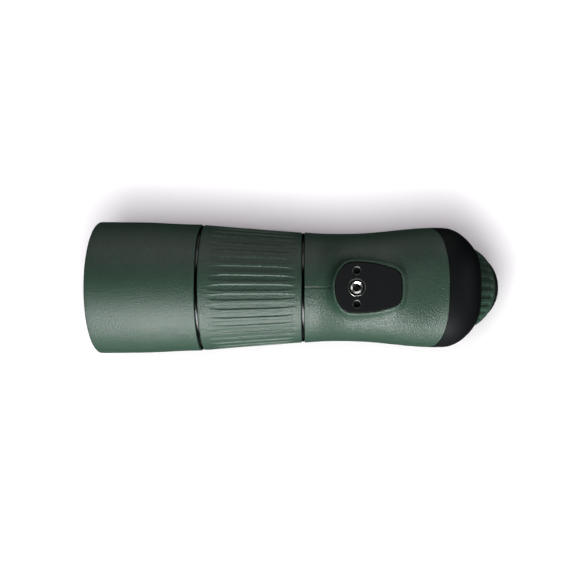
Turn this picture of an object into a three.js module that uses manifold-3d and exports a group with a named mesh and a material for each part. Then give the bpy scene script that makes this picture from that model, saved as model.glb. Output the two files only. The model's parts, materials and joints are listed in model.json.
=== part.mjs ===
// A compact angled spotting scope with a 56 mm class objective: rubber-armoured barrel, fluted focusing ring,
// tripod foot, black rear cover and a 45 degree zoom eyepiece with a twist-up eyecup.
//
// Millimetres. The origin is the tripod thread's axis on the foot's flat face. +X runs along the
// optical axis from the objective to the eyepiece, +Z is up.
import * as THREE from "three";
import { mergeVertices } from "three/addons/utils/BufferGeometryUtils.js";
import Module from "manifold-3d";

const wasm = await Module();
wasm.setup();

// ---------------------------------------------------------------- driving dimensions

const AXIS_HEIGHT = 45; // optical axis above the foot's face
const CLEARANCE = 0.3; // between pieces that touch
const RUNNING = 0.4; // radial room around a piece that turns or slides
const SKIN = 2.2; // thickness of the rubber armour
const FACETS = 28; // segments of a turned piece
const SMALL_FACETS = 20; // of a lens, spacer or seal

// stations and outer radii along the optical axis
const HOOD_FRONT = -159;
const HOOD_RADIUS = 41.5;
const HOOD_TAPER = -128; // the hood is straight up to here
const HOOD_REAR_RADIUS = 39.9;
const FRONT_GAP = -94; // middle of the groove before the focusing ring
const REAR_GAP = -31; // middle of the groove behind it
const GAP_WIDTH = 1.8;
const GRIP_FRONT_RADIUS = 39.7;
const GRIP_REAR_RADIUS = 34.9;
const FLUTES = 42;
const FLUTE_DEPTH = 0.9;

// rear body
const WAIST = -2;
const WAIST_RADIUS = 33.8;
const SHOULDER = 51.5;
const SHOULDER_RADIUS = 37.6; // half the width at the shoulder
const SHOULDER_RISE = 31.5; // height over the optical axis at the shoulder
const TAIL = 28; // length of the rounded tail behind the shoulder
const TAIL_POWER = 2.7; // 2 is an ellipse, more is squarer
const HOUSING_WALL = 2.6;
const COVER_CROSSING = 44; // where the seam of the rear cover crosses the optical axis
const COVER_TILT = 16.2;
const COVER_WALL = 2.8;

// objective
const LENS_RADIUS = 28.5;
const CELL_RADIUS = 31.5;
const CELL_FRONT = -143;
const CELL_REAR = -112;

// inner barrel and focusing
const BARREL_RADIUS = 26.5;
const BARREL_WALL = 2.2;
const FOCUS_TURN = 300; // degrees
const FOCUS_TRAVEL = 12;
const KEY_X = -68;
const KEY_RADIUS = 2;
const KEY_TIP = BARREL_RADIUS + 1.9;
const FOCUS_LENS_RADIUS = BARREL_RADIUS - 9.5;

// tripod foot
const PAD_LENGTH_FRONT = 12.6;
const PAD_LENGTH_REAR = 26;
const PAD_HALF_WIDTH = 14.5;
const PAD_REAR_HALF_WIDTH = 11.2;
const PAD_THICKNESS = 1.8;
const PAD_PROUD = 0.8; // the pad stands this far out of the armour around it
const INSERT_RADIUS = 5;
const THREAD_RADIUS = 2.55; // minor diameter of the 1/4 inch 20 thread
const INSERT_DEPTH = 9.5;
const PIN_HOLE_RADIUS = 2;
const PIN_HOLE_OFFSET = 9.7;
const PIN_HOLE_DEPTH = 6.5;

// eyepiece: stations are measured along its own axis from where it crosses the optical axis
const EYE_ANGLE = 45;
const EYE_CROSSING = 48;
const COLLAR = 14; // face of the rear cover
const ZOOM_END = 35.5;
const ZOOM_FRONT_RADIUS = 28.5;
const ZOOM_REAR_RADIUS = 28;
const ZOOM_RIBS = 32;
const ZOOM_TURN = 140;
const ZOOM_FRONT_PIN = 15.3;
const ZOOM_FRONT_TRAVEL = -5;
const ZOOM_REAR_PIN = 20.9;
const ZOOM_REAR_TRAVEL = 2.6;
const ZOOM_PIN_RADIUS = 1.2;
const EYECUP_RADIUS = 23.2;
const EYECUP_WALL = 3; // rubber over the sleeve
const SLEEVE_WALL = 2.8;
const EYE_BARREL_RADIUS = EYECUP_RADIUS - EYECUP_WALL - SLEEVE_WALL - RUNNING;
const EYE_BARREL_WALL = 1.8;
const EYE_BARREL_END = 45.3;
const ZOOM_PIN_TIP = EYE_BARREL_RADIUS + 2.2;
const EYECUP_END = 47.3;
const EYECUP_TURN = 120;
const EYECUP_RISE = 8;
const PRISM_REACH = 15; // from the crossing of the two axes to the prism's sharp edge
const PRISM_HALF_WIDTH = 12;

const DEG = Math.PI / 180;

// ---------------------------------------------------------------- materials

const paint = (color, roughness, metalness = 0) =>
  new THREE.MeshStandardMaterial({ color, roughness, metalness });
const greenRubber = () => paint(0x3c5146, 0.75);
const blackRubber = () => paint(0x17181a, 0.7);
const blackPolymer = () => paint(0x1b1c1e, 0.55);
const polishedBlack = () => paint(0x0c0c0d, 0.2, 0.9);
const castMetal = () => paint(0x6d7072, 0.5, 0.8);
const darkMetal = () => paint(0x2a2b2d, 0.45, 0.8);
const steel = () => paint(0xa9abac, 0.3, 1);
const glass = () => paint(0xcfe3dc, 0.03);

// ---------------------------------------------------------------- solids

// Six times the signed volume: negative when the faces look inwards.
function signedVolume(positions, corners) {
  const [a, b, c] = [new THREE.Vector3(), new THREE.Vector3(), new THREE.Vector3()];
  let sum = 0;
  for (let i = 0; i < corners.length; i += 3) {
    a.fromArray(positions, 3 * corners[i]);
    b.fromArray(positions, 3 * corners[i + 1]);
    c.fromArray(positions, 3 * corners[i + 2]);
    sum += a.dot(b.cross(c));
  }
  return sum;
}

// A closed body with shared corners, no collapsed triangles and faces that look outwards.
function toSolid(geometry) {
  const bare = geometry.clone();
  for (const name of Object.keys(bare.attributes)) {
    if (name !== "position") bare.deleteAttribute(name);
  }
  const merged = mergeVertices(bare, 1e-4);
  const positions = merged.attributes.position.array;
  const kept = [];
  for (let i = 0; i < merged.index.count; i += 3) {
    const [a, b, c] = merged.index.array.subarray(i, i + 3);
    if (a !== b && b !== c && c !== a) kept.push(a, b, c);
  }
  if (signedVolume(positions, kept) < 0) kept.reverse();
  return new wasm.Manifold(
    new wasm.Mesh({ numProp: 3, vertProperties: positions, triVerts: new Uint32Array(kept) }),
  );
}

function toGeometry(solid) {
  const mesh = solid.getMesh();
  const geometry = new THREE.BufferGeometry();
  geometry.setAttribute("position", new THREE.BufferAttribute(mesh.vertProperties, 3));
  geometry.setIndex(new THREE.BufferAttribute(mesh.triVerts, 1));
  return geometry;
}

const cut = (body, ...tools) =>
  toGeometry(tools.reduce((rest, tool) => rest.subtract(toSolid(tool)), toSolid(body)));
const join = (body, ...others) =>
  toGeometry(others.reduce((all, other) => all.add(toSolid(other)), toSolid(body)));
const common = (body, other) => toGeometry(toSolid(body).intersect(toSolid(other)));

// A solid of revolution about X from [x, radius] corners. A section clear of the axis is closed on itself.
function turned(section, facets = FACETS) {
  const points = section.map(([x, r]) => new THREE.Vector2(r, x));
  if (section[0][1] > 0) points.push(points[0].clone());
  return toGeometry(toSolid(new THREE.LatheGeometry(points, facets).rotateZ(-Math.PI / 2)));
}

const ring = (x0, x1, inner, outer, facets = SMALL_FACETS) =>
  turned([[x0, inner], [x0, outer], [x1, outer], [x1, inner]], facets);

// A disc about X, or a pin along it.
const disc = (x0, x1, radius, facets) =>
  turned([[x0, 0], [x0, radius], [x1, radius], [x1, 0]], facets);

// A seal with a round section.
function oRing(x, middle, thickness) {
  const section = [];
  for (let i = 0; i < 6; i++) {
    const angle = (i + 0.5) * 60 * DEG;
    section.push([x + (thickness / 2) * Math.cos(angle), middle + (thickness / 2) * Math.sin(angle)]);
  }
  return turned(section);
}

// A lens. A positive bulge stands out of the glass, a negative one is hollow.
function lens(front, rear, radius, frontBulge, rearBulge) {
  const steps = 3;
  const section = [];
  for (let i = 0; i <= steps; i++) {
    section.push([front - frontBulge * (1 - (i / steps) ** 2), (radius * i) / steps]);
  }
  for (let i = steps; i >= 0; i--) {
    section.push([rear + rearBulge * (1 - (i / steps) ** 2), (radius * i) / steps]);
  }
  return turned(section, SMALL_FACETS);
}

const box = (x0, x1, y0, y1, z0, z1) =>
  new THREE.BoxGeometry(x1 - x0, y1 - y0, z1 - z0).translate((x0 + x1) / 2, (y0 + y1) / 2, (z0 + z1) / 2);

// An upright cylinder between two heights.
const post = (x, y, z0, z1, radius, facets = 20) =>
  new THREE.CylinderGeometry(radius, radius, z1 - z0, facets)
    .rotateX(Math.PI / 2)
    .translate(x, y, (z0 + z1) / 2);

// A body skinned over rings with the same count of points, closed at both ends.
function skinned(rings) {
  const count = rings[0].length;
  const faces = [];
  for (let i = 0; i < rings.length - 1; i++) {
    for (let j = 0; j < count; j++) {
      const near = i * count;
      const next = (j + 1) % count;
      faces.push(near + j, near + next, near + count + next);
      faces.push(near + j, near + count + next, near + count + j);
    }
  }
  const last = (rings.length - 1) * count;
  for (let j = 1; j < count - 1; j++) {
    faces.push(0, j + 1, j);
    faces.push(last, last + j, last + j + 1);
  }
  const geometry = new THREE.BufferGeometry().setFromPoints(rings.flat());
  geometry.setIndex(faces);
  return geometry;
}

// A helical channel about X. Angles are in degrees from +Z, positive by the right hand about +X.
function helix(fromAngle, toAngle, xFrom, xTo, width, inner, outer) {
  const steps = Math.ceil(Math.abs(toAngle - fromAngle) / 10);
  const rings = [];
  for (let i = 0; i <= steps; i++) {
    const angle = THREE.MathUtils.lerp(fromAngle, toAngle, i / steps) * DEG;
    const x = THREE.MathUtils.lerp(xFrom, xTo, i / steps);
    const at = (dx, r) => new THREE.Vector3(x + dx, -r * Math.sin(angle), r * Math.cos(angle));
    rings.push([at(-width / 2, inner), at(width / 2, inner), at(width / 2, outer), at(-width / 2, outer)]);
  }
  return skinned(rings);
}

// Everything behind a plane that crosses the X axis at x and leans back by tilt degrees.
const behind = (x, tilt) =>
  new THREE.BoxGeometry(300, 300, 300)
    .translate(150, 0, 0)
    .rotateY(-tilt * DEG)
    .translate(x, 0, 0);

// ---------------------------------------------------------------- scene graph

const scope = new THREE.Group();
const foot = new THREE.Group(); // pieces placed from the foot's face
const optical = new THREE.Group(); // pieces about the optical axis
optical.position.z = AXIS_HEIGHT;
const eyepiece = new THREE.Group(); // pieces about the eyepiece's axis
eyepiece.position.set(EYE_CROSSING, 0, AXIS_HEIGHT);
eyepiece.rotation.y = -EYE_ANGLE * DEG;
scope.add(foot, optical, eyepiece);

function piece(parent, name, geometry, material) {
  const mesh = new THREE.Mesh(geometry, material);
  mesh.name = name;
  parent.add(mesh);
}

// ---------------------------------------------------------------- front barrel and objective

const hoodEnd = FRONT_GAP - GAP_WIDTH / 2;
const gripStart = FRONT_GAP + GAP_WIDTH / 2;
const gripEnd = REAR_GAP - GAP_WIDTH / 2;
const bodyStart = REAR_GAP + GAP_WIDTH / 2;
const frontLip = 1.6; // rubber over the tube's front edge
const recess = LENS_RADIUS + 5; // inside radius of the sunshade
const cellSeat = CELL_RADIUS + CLEARANCE;
const flange = BARREL_RADIUS + 4.5;
const tubeWallFront = hoodEnd - 6;
const barrelBore = BARREL_RADIUS - BARREL_WALL;

const frontArmour = turned([
  [HOOD_FRONT, recess + 0.8],
  [HOOD_FRONT, HOOD_RADIUS - 1.4],
  [HOOD_FRONT + 0.4, HOOD_RADIUS - 0.5],
  [HOOD_FRONT + 1.4, HOOD_RADIUS],
  [HOOD_TAPER, HOOD_RADIUS - 0.2],
  [HOOD_TAPER + 17, HOOD_RADIUS - 0.8],
  [hoodEnd - 0.6, HOOD_REAR_RADIUS],
  [hoodEnd, HOOD_REAR_RADIUS - 0.6],
  [hoodEnd, HOOD_REAR_RADIUS - SKIN],
  [HOOD_TAPER, HOOD_RADIUS - 0.2 - SKIN],
  [HOOD_FRONT + frontLip, HOOD_RADIUS - SKIN],
  [HOOD_FRONT + frontLip, recess + 0.8],
]);

const tubeSkin = SKIN + CLEARANCE;
const frontTube = turned([
  [HOOD_FRONT + frontLip + CLEARANCE, recess],
  [HOOD_FRONT + frontLip + CLEARANCE, HOOD_RADIUS - tubeSkin],
  [HOOD_TAPER, HOOD_RADIUS - 0.2 - tubeSkin],
  [hoodEnd, HOOD_REAR_RADIUS - tubeSkin],
  [hoodEnd, BARREL_RADIUS + CLEARANCE],
  [tubeWallFront, BARREL_RADIUS + CLEARANCE],
  [tubeWallFront, flange + CLEARANCE],
  [CELL_REAR + 1, flange + CLEARANCE],
  [CELL_REAR + 1, cellSeat],
  [CELL_FRONT, cellSeat],
  [CELL_FRONT, recess],
]);

const sealGroove = 1.4;
const cellSeal = -130;
const cellShelf = CELL_REAR - 2; // face that the rear lens rests on
const lensSeat = LENS_RADIUS + CLEARANCE;
const objectiveCell = turned([
  [CELL_FRONT, lensSeat],
  [CELL_FRONT, CELL_RADIUS],
  [cellSeal - 1, CELL_RADIUS],
  [cellSeal - 1, CELL_RADIUS - sealGroove],
  [cellSeal + 1, CELL_RADIUS - sealGroove],
  [cellSeal + 1, CELL_RADIUS],
  [CELL_REAR, CELL_RADIUS],
  [CELL_REAR, LENS_RADIUS - 2],
  [cellShelf, LENS_RADIUS - 2],
  [cellShelf, lensSeat],
]);

const crownFront = CELL_FRONT + 6;
const crownRear = crownFront + 7;
const flintFront = crownRear + 3;
const flintRear = flintFront + 7;
const retainerLength = 3;
piece(optical, "front_armour", frontArmour, greenRubber());
piece(optical, "front_tube", frontTube, castMetal());
piece(optical, "objective_cell", objectiveCell, darkMetal());
piece(optical, "objective_seal", oRing(cellSeal, CELL_RADIUS - 0.5, 1.2), blackRubber());
piece(optical, "objective_lens_front", lens(crownFront, crownRear, LENS_RADIUS, 3, 0), glass());
piece(
  optical,
  "lens_spacer",
  ring(crownRear + CLEARANCE, flintFront - CLEARANCE, LENS_RADIUS - 2, LENS_RADIUS),
  darkMetal(),
);
piece(optical, "objective_lens_rear", lens(flintFront, flintRear, LENS_RADIUS, 1.2, -1.5), glass());
piece(
  optical,
  "rear_spacer",
  ring(flintRear + CLEARANCE, cellShelf - CLEARANCE, LENS_RADIUS - 2, LENS_RADIUS),
  darkMetal(),
);
piece(
  optical,
  "objective_retainer",
  ring(crownFront - 0.8 - retainerLength, crownFront - 0.8, LENS_RADIUS - 2, LENS_RADIUS),
  darkMetal(),
);

// ---------------------------------------------------------------- inner barrel and focusing

const frontWallOfBody = 8; // thickness of the housing's front wall
const barrelEnd = bodyStart + frontWallOfBody;
const keyTurnMargin = 8; // degrees of groove beyond each stop
const perDegree = FOCUS_TRAVEL / FOCUS_TURN;
const slotHalf = KEY_RADIUS + CLEARANCE;

const mainBarrel = cut(
  turned([
    [tubeWallFront - CLEARANCE - 3, barrelBore],
    [tubeWallFront - CLEARANCE - 3, flange],
    [tubeWallFront - CLEARANCE, flange],
    [tubeWallFront - CLEARANCE, BARREL_RADIUS],
    [barrelEnd, BARREL_RADIUS],
    [barrelEnd, barrelBore],
  ]),
  box(
    KEY_X - slotHalf,
    KEY_X + FOCUS_TRAVEL + slotHalf,
    -slotHalf,
    slotHalf,
    barrelBore - 4,
    BARREL_RADIUS + 2,
  ),
);

const gripRadius = (x) =>
  THREE.MathUtils.mapLinear(x, gripStart, gripEnd, GRIP_FRONT_RADIUS, GRIP_REAR_RADIUS);
const coreBore = BARREL_RADIUS + RUNNING;
const sealWidth = 2.4;
const pocket = coreBore + 2;

// The ring's metal core, with the helical groove that drives the focusing key.
const focusCore = cut(
  turned([
    [gripStart + CLEARANCE, pocket],
    [gripStart + CLEARANCE, gripRadius(gripStart) - tubeSkin],
    [gripEnd - CLEARANCE, gripRadius(gripEnd) - tubeSkin],
    [gripEnd - CLEARANCE, pocket],
    [gripEnd - CLEARANCE - sealWidth, pocket],
    [gripEnd - CLEARANCE - sealWidth, coreBore],
    [gripStart + CLEARANCE + sealWidth, coreBore],
    [gripStart + CLEARANCE + sealWidth, pocket],
  ]),
  helix(
    keyTurnMargin,
    -FOCUS_TURN - keyTurnMargin,
    KEY_X - keyTurnMargin * perDegree,
    KEY_X + (FOCUS_TURN + keyTurnMargin) * perDegree,
    2 * slotHalf + 0.2,
    coreBore - 1,
    KEY_TIP + 0.6,
  ),
);

// The rubber grip: long shallow scoops that run out at both ends.
function focusGrip() {
  const body = turned([
    [gripStart, gripRadius(gripStart) - SKIN],
    [gripStart, gripRadius(gripStart) - 0.5],
    [gripStart + 0.5, gripRadius(gripStart)],
    [gripEnd - 0.5, gripRadius(gripEnd)],
    [gripEnd, gripRadius(gripEnd) - 0.5],
    [gripEnd, gripRadius(gripEnd) - SKIN],
  ], FLUTES);
  const middle = (gripStart + gripEnd) / 2;
  const halfLength = (gripEnd - gripStart) / 2 - 6;
  const slope = Math.atan2(GRIP_REAR_RADIUS - GRIP_FRONT_RADIUS, gripEnd - gripStart);
  const scoops = [];
  for (let i = 0; i < FLUTES; i++) {
    scoops.push(
      new THREE.SphereGeometry(1, 6, 4)
        .rotateZ(Math.PI / 2)
        .scale(halfLength, 1.7, 2 * FLUTE_DEPTH)
        .rotateY(-slope)
        .translate(middle, 0, gripRadius(middle) + FLUTE_DEPTH * 0.9)
        .rotateX(Math.PI + (i * 2 * Math.PI) / FLUTES),
    );
  }
  return cut(body, ...scoops);
}

const focusCellRadius = barrelBore - RUNNING;
const focusCell = cut(
  turned([
    [KEY_X - 7, FOCUS_LENS_RADIUS + CLEARANCE],
    [KEY_X - 7, focusCellRadius],
    [KEY_X + 7, focusCellRadius],
    [KEY_X + 7, FOCUS_LENS_RADIUS - 2],
    [KEY_X + 5, FOCUS_LENS_RADIUS - 2],
    [KEY_X + 5, FOCUS_LENS_RADIUS + CLEARANCE],
  ]),
  post(KEY_X, 0, focusCellRadius - 3.5, focusCellRadius + 2, KEY_RADIUS + CLEARANCE),
);
const keySeat = focusCellRadius - 3.5 + CLEARANCE;

piece(optical, "main_barrel", mainBarrel, darkMetal());
piece(
  optical,
  "front_trim_ring",
  ring(hoodEnd + CLEARANCE, gripStart - CLEARANCE, coreBore, GRIP_FRONT_RADIUS - 1.5, FACETS),
  polishedBlack(),
);
piece(
  optical,
  "rear_trim_ring",
  ring(gripEnd + CLEARANCE, bodyStart - CLEARANCE, coreBore, GRIP_REAR_RADIUS - 1.3, FACETS),
  polishedBlack(),
);
piece(optical, "focus_core", focusCore, darkMetal());
piece(optical, "focus_grip", focusGrip(), greenRubber());
const sealInset = CLEARANCE + sealWidth / 2;
const focusSeal = (x) => oRing(x, coreBore + 0.9, 1.2);
piece(optical, "focus_seal_front", focusSeal(gripStart + sealInset), blackRubber());
piece(optical, "focus_seal_rear", focusSeal(gripEnd - sealInset), blackRubber());
piece(optical, "focus_cell", focusCell, darkMetal());
piece(optical, "focus_key", post(KEY_X, 0, keySeat, KEY_TIP, KEY_RADIUS), steel());
piece(optical, "focus_lens", lens(KEY_X - 1, KEY_X + 5 - CLEARANCE, FOCUS_LENS_RADIUS, -1.2, -1.2), glass());
piece(
  optical,
  "focus_retainer",
  ring(KEY_X - 4, KEY_X - 1 - CLEARANCE, FOCUS_LENS_RADIUS - 2, FOCUS_LENS_RADIUS),
  darkMetal(),
);

// ---------------------------------------------------------------- rear body

const smooth = (x, from, to) => THREE.MathUtils.smoothstep(x, from, to);
const frontFlare = (x) => (GRIP_REAR_RADIUS - WAIST_RADIUS) * ((WAIST - x) / (WAIST - bodyStart)) ** 2;
const bodyWidth = (x) =>
  x < WAIST
    ? WAIST_RADIUS + frontFlare(x)
    : THREE.MathUtils.lerp(WAIST_RADIUS, SHOULDER_RADIUS, smooth(x, WAIST, SHOULDER));
const bodyRise = (x) =>
  x < WAIST
    ? WAIST_RADIUS + frontFlare(x)
    : THREE.MathUtils.lerp(WAIST_RADIUS, SHOULDER_RISE, smooth(x, WAIST, SHOULDER));

// The rear body's outside, sunk by a depth, from a station back to the rounded tail.
function bodyShape(depth, start) {
  const straight = 9; // rings up to the shoulder
  const round = 7; // rings around the tail
  const rings = [];
  const section = (x, width, rise) => {
    const points = [];
    for (let j = 0; j < FACETS; j++) {
      const angle = ((j + 0.5) * 2 * Math.PI) / FACETS;
      const height = Math.sin(angle) > 0 ? rise : width;
      points.push(new THREE.Vector3(x, width * Math.cos(angle), height * Math.sin(angle)));
    }
    rings.push(points);
  };
  for (let i = 0; i < straight; i++) {
    const x = THREE.MathUtils.lerp(start, SHOULDER, i / straight);
    section(x, bodyWidth(x) - depth, bodyRise(x) - depth);
  }
  for (let i = 0; i < round; i++) {
    const angle = (i * 80 * DEG) / (round - 1);
    const share = Math.cos(angle) ** (2 / TAIL_POWER);
    const x = SHOULDER + (TAIL - depth) * Math.sin(angle) ** (2 / TAIL_POWER);
    section(x, (SHOULDER_RADIUS - depth) * share, (SHOULDER_RISE - depth) * share);
  }
  return skinned(rings);
}

// The outline of the foot, grown outwards by a distance, as a flat shape.
function footShape(grow) {
  const half = new THREE.Path();
  half.moveTo(-PAD_LENGTH_FRONT, 0);
  half.quadraticCurveTo(-PAD_LENGTH_FRONT, PAD_HALF_WIDTH * 0.55, -8.6, PAD_HALF_WIDTH * 0.74);
  half.quadraticCurveTo(-5.4, PAD_HALF_WIDTH, -2.5, PAD_HALF_WIDTH);
  half.quadraticCurveTo(8, PAD_HALF_WIDTH + 0.2, 20, PAD_REAR_HALF_WIDTH + 0.6);
  half.quadraticCurveTo(PAD_LENGTH_REAR - 0.9, PAD_REAR_HALF_WIDTH - 1.6, PAD_LENGTH_REAR - 0.4, 5);
  half.quadraticCurveTo(PAD_LENGTH_REAR, 2.5, PAD_LENGTH_REAR, 0);
  const upper = half.getPoints(5);
  const lower = upper.slice(1, -1).reverse();
  const outline = [...upper, ...lower.map((p) => new THREE.Vector2(p.x, -p.y))];
  const grown = outline.map((p, i) => {
    const before = outline.at(i - 1);
    const after = outline[(i + 1) % outline.length];
    const along = after.clone().sub(before).normalize();
    return new THREE.Vector2(p.x - along.y * grow, p.y + along.x * grow);
  });
  return new THREE.Shape(grown);
}

const footBody = (grow, z0, z1) =>
  new THREE.ExtrudeGeometry(footShape(grow), { depth: z1 - z0, bevelEnabled: false }).translate(0, 0, z0);

// The cradle's two lugs inside the housing.
const lugY = 24;
const lugHalf = 3.5;
const lugOuter = SHOULDER_RADIUS; // trimmed to the housing's outside
const lugRear = 27;
const lug = (side) =>
  side > 0
    ? box(lugRear - 7, lugRear, lugY - lugHalf, lugOuter, -5, 5)
    : box(lugRear - 7, lugRear, -lugOuter, -lugY + lugHalf, -5, 5);

const housingDepth = SKIN + CLEARANCE;
const cavityDepth = housingDepth + HOUSING_WALL;
const cavityStart = bodyStart + frontWallOfBody;
const footScrewX = [-9, 18]; // the foot's screws, ahead of and behind the thread
const screwRadius = 1.5;
const screwHeadRadius = 2.8;
// height of the housing's inner floor over the foot's face
const floorAt = (x) => AXIS_HEIGHT - bodyWidth(x) + cavityDepth;
const seatAt = (x) => Math.max(floorAt(x - screwHeadRadius), floorAt(x + screwHeadRadius)) + CLEARANCE;

// The seam is a plane. The cover starts one clearance behind it.
const seam = behind(COVER_CROSSING, COVER_TILT);
const seamFace = COVER_CROSSING + CLEARANCE / Math.cos(COVER_TILT * DEG);

function bodyHousing() {
  const cavity = bodyShape(cavityDepth, cavityStart);
  const lugs = [1, -1].map((side) => common(lug(side), bodyShape(housingDepth + 0.5, cavityStart)));
  const shell = join(cut(bodyShape(housingDepth, bodyStart), cavity, seam), ...lugs);
  const screwHoles = footScrewX.map((x) =>
    post(x, 0, -AXIS_HEIGHT, floorAt(x) - AXIS_HEIGHT + 2, screwRadius + CLEARANCE),
  );
  const lugHoles = [1, -1].map((side) =>
    disc(lugRear - 6, lugRear + 1, screwRadius + CLEARANCE, 16).translate(0, side * lugY, 0),
  );
  return cut(
    shell,
    disc(bodyStart - 1, cavityStart + 1, BARREL_RADIUS + CLEARANCE),
    ...screwHoles,
    ...lugHoles,
  );
}

const armourFootGrow = 2;

function bodyArmour() {
  const pedestal = cut(
    footBody(armourFootGrow, PAD_PROUD, AXIS_HEIGHT - WAIST_RADIUS + 6).translate(0, 0, -AXIS_HEIGHT),
    bodyShape(SKIN, bodyStart),
  );
  const skin = cut(bodyShape(0, bodyStart), seam, bodyShape(SKIN, bodyStart - 1));
  return cut(
    join(skin, pedestal),
    footBody(CLEARANCE, -1, 30).translate(0, 0, -AXIS_HEIGHT),
  );
}

const pinHoles = (from, to, radius) =>
  [1, -1].map((side) => post(0, side * PIN_HOLE_OFFSET, from, to, radius));
const blockBottom = PAD_THICKNESS + CLEARANCE;
const screwDepth = 8;

const footBlock = cut(
  footBody(0, blockBottom, AXIS_HEIGHT - WAIST_RADIUS + 6),
  bodyShape(SKIN, bodyStart).translate(0, 0, AXIS_HEIGHT),
  post(0, 0, 0, INSERT_DEPTH + CLEARANCE, INSERT_RADIUS + CLEARANCE),
  ...pinHoles(0, PIN_HOLE_DEPTH, PIN_HOLE_RADIUS),
  ...footScrewX.map((x) => post(x, 0, seatAt(x) - screwDepth - CLEARANCE, 40, screwRadius + CLEARANCE)),
);

const footPad = cut(
  footBody(0, 0, PAD_THICKNESS),
  post(0, 0, -1, 5, INSERT_RADIUS + CLEARANCE, 32),
  ...pinHoles(-1, 5, PIN_HOLE_RADIUS),
);

const threadInsert = cut(
  post(0, 0, 0.2, INSERT_DEPTH, INSERT_RADIUS, 32),
  post(0, 0, -1, INSERT_DEPTH - 1, THREAD_RADIUS, 24),
  new THREE.CylinderGeometry(THREAD_RADIUS, THREAD_RADIUS + 1, 1, 24)
    .rotateX(-Math.PI / 2)
    .translate(0, 0, 0.69),
);

// A screw with its head up: the shaft ends a depth below the head's seat.
const screwDown = (x, y, seat, depth) =>
  join(
    post(x, y, seat - depth, seat + 0.5, screwRadius, 16),
    post(x, y, seat + CLEARANCE, seat + 2.2, screwHeadRadius, 16),
  );

piece(optical, "body_housing", bodyHousing(), castMetal());
piece(optical, "body_armour", bodyArmour(), greenRubber());
piece(foot, "foot_block", footBlock, castMetal());
piece(foot, "foot_pad", footPad, blackRubber());
piece(foot, "thread_insert", threadInsert, steel());
footScrewX.forEach((x, i) => {
  piece(foot, `foot_screw_${i + 1}`, screwDown(x, 0, seatAt(x), screwDepth), steel());
});

// ---------------------------------------------------------------- rear cover

const coverFloor = COLLAR - 3.5; // inner face of the cover's collar
const coverHole = EYE_BARREL_RADIUS + 5.5;
const baseOuter = coverHole + 3;
const eyeScrewCircle = coverHole + 1.5;
const eyeScrewRadius = 0.8;
const eyeScrewAngles = [90, 210, 330];

// Turns a body from the eyepiece's axes to the optical ones.
const toOptical = (geometry) => geometry.rotateY(-EYE_ANGLE * DEG).translate(EYE_CROSSING, 0, 0);
const aroundEye = (make) => eyeScrewAngles.map((angle) => make().rotateX(angle * DEG));
const eyeScrewHoles = (from, to) =>
  aroundEye(() => disc(from, to, eyeScrewRadius + 0.25, 12).translate(0, 0, eyeScrewCircle));

// The round-over between the cover's sides and its collar, about the eyepiece's axis.
const collarRound = (depth, end) =>
  toOptical(
    turned([
      [-140, 0],
      [-140, 130],
      [-6, 60 - depth],
      [0, 41 - depth],
      [6, 38.5 - depth],
      [9, 37.2 - depth],
      [11.5, 35.8 - depth],
      [13, 34.4 - depth],
      [end, 33 - depth],
      [end, 0],
    ]),
  );

function rearCover() {
  const tail = common(bodyShape(0, bodyStart), collarRound(0, COLLAR));
  const hollow = common(bodyShape(COVER_WALL, bodyStart), collarRound(COVER_WALL, coverFloor));
  const front = common(behind(seamFace, COVER_TILT), tail);
  return cut(front, hollow, toOptical(disc(0, 30, coverHole)), ...eyeScrewHoles(0, 12.6).map(toOptical));
}

piece(optical, "rear_cover", rearCover(), blackPolymer());

// ---------------------------------------------------------------- prism

// A 45 degree erecting prism. Its entrance face looks forward and its exit face along the eyepiece's axis.
const halfApex = EYE_ANGLE / 2;
const apexX = EYE_CROSSING - PRISM_REACH * Math.sin(halfApex * DEG);
const apexZ = PRISM_REACH * Math.cos(halfApex * DEG);
const prismFace = 1.75 * PRISM_REACH;
const prismSlice = (grow, halfWidth) => {
  const shape = new THREE.Shape();
  shape.moveTo(apexX - grow, apexZ + 2.4 * grow);
  shape.lineTo(apexX - grow, apexZ - prismFace - grow);
  shape.lineTo(
    apexX + (prismFace + 2.4 * grow) * Math.sin(EYE_ANGLE * DEG),
    apexZ - (prismFace - 0.4 * grow) * Math.cos(EYE_ANGLE * DEG),
  );
  return new THREE.ExtrudeGeometry(shape, { depth: 2 * halfWidth, bevelEnabled: false })
    .translate(0, 0, -halfWidth)
    .rotateX(Math.PI / 2);
};

const plateFront = lugRear + CLEARANCE;
const plateRear = plateFront + 3;
const cheek = PRISM_HALF_WIDTH + CLEARANCE;
const cheekOuter = cheek + 2.5;
const cradle = cut(
  join(
    box(plateFront, plateRear, -lugY - 3, lugY + 3, -5, 5),
    box(plateFront, plateRear, -cheekOuter, cheekOuter, -16, 18),
    box(plateRear - 1, apexX + 8, cheek, cheekOuter, -12, 5),
    box(plateRear - 1, apexX + 8, -cheekOuter, -cheek, -12, 5),
  ),
  disc(plateFront - 1, plateRear + 1, 11),
  ...[1, -1].map((side) =>
    disc(plateFront - 1, plateRear + 1, screwRadius + CLEARANCE, 16).translate(0, side * lugY, 0),
  ),
);
const clampTop = apexZ - prismFace - 0.9;
const clamp = join(
  box(apexX - 1, apexX + 6, -cheekOuter - 2.4, cheekOuter + 2.4, clampTop - 2, clampTop),
  box(apexX - 1, apexX + 6, cheekOuter + CLEARANCE, cheekOuter + 2.4, clampTop - 1, -3),
  box(apexX - 1, apexX + 6, -cheekOuter - 2.4, -cheekOuter - CLEARANCE, clampTop - 1, -3),
);
const cradleScrew = join(
  disc(lugRear - 5.5, plateRear + 0.5, screwRadius, 16),
  disc(plateRear + CLEARANCE, plateRear + 2, screwHeadRadius, 16),
);
piece(optical, "prism", prismSlice(0, PRISM_HALF_WIDTH), glass());
piece(optical, "prism_cradle", cradle, darkMetal());
piece(optical, "prism_clamp", clamp, steel());
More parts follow.
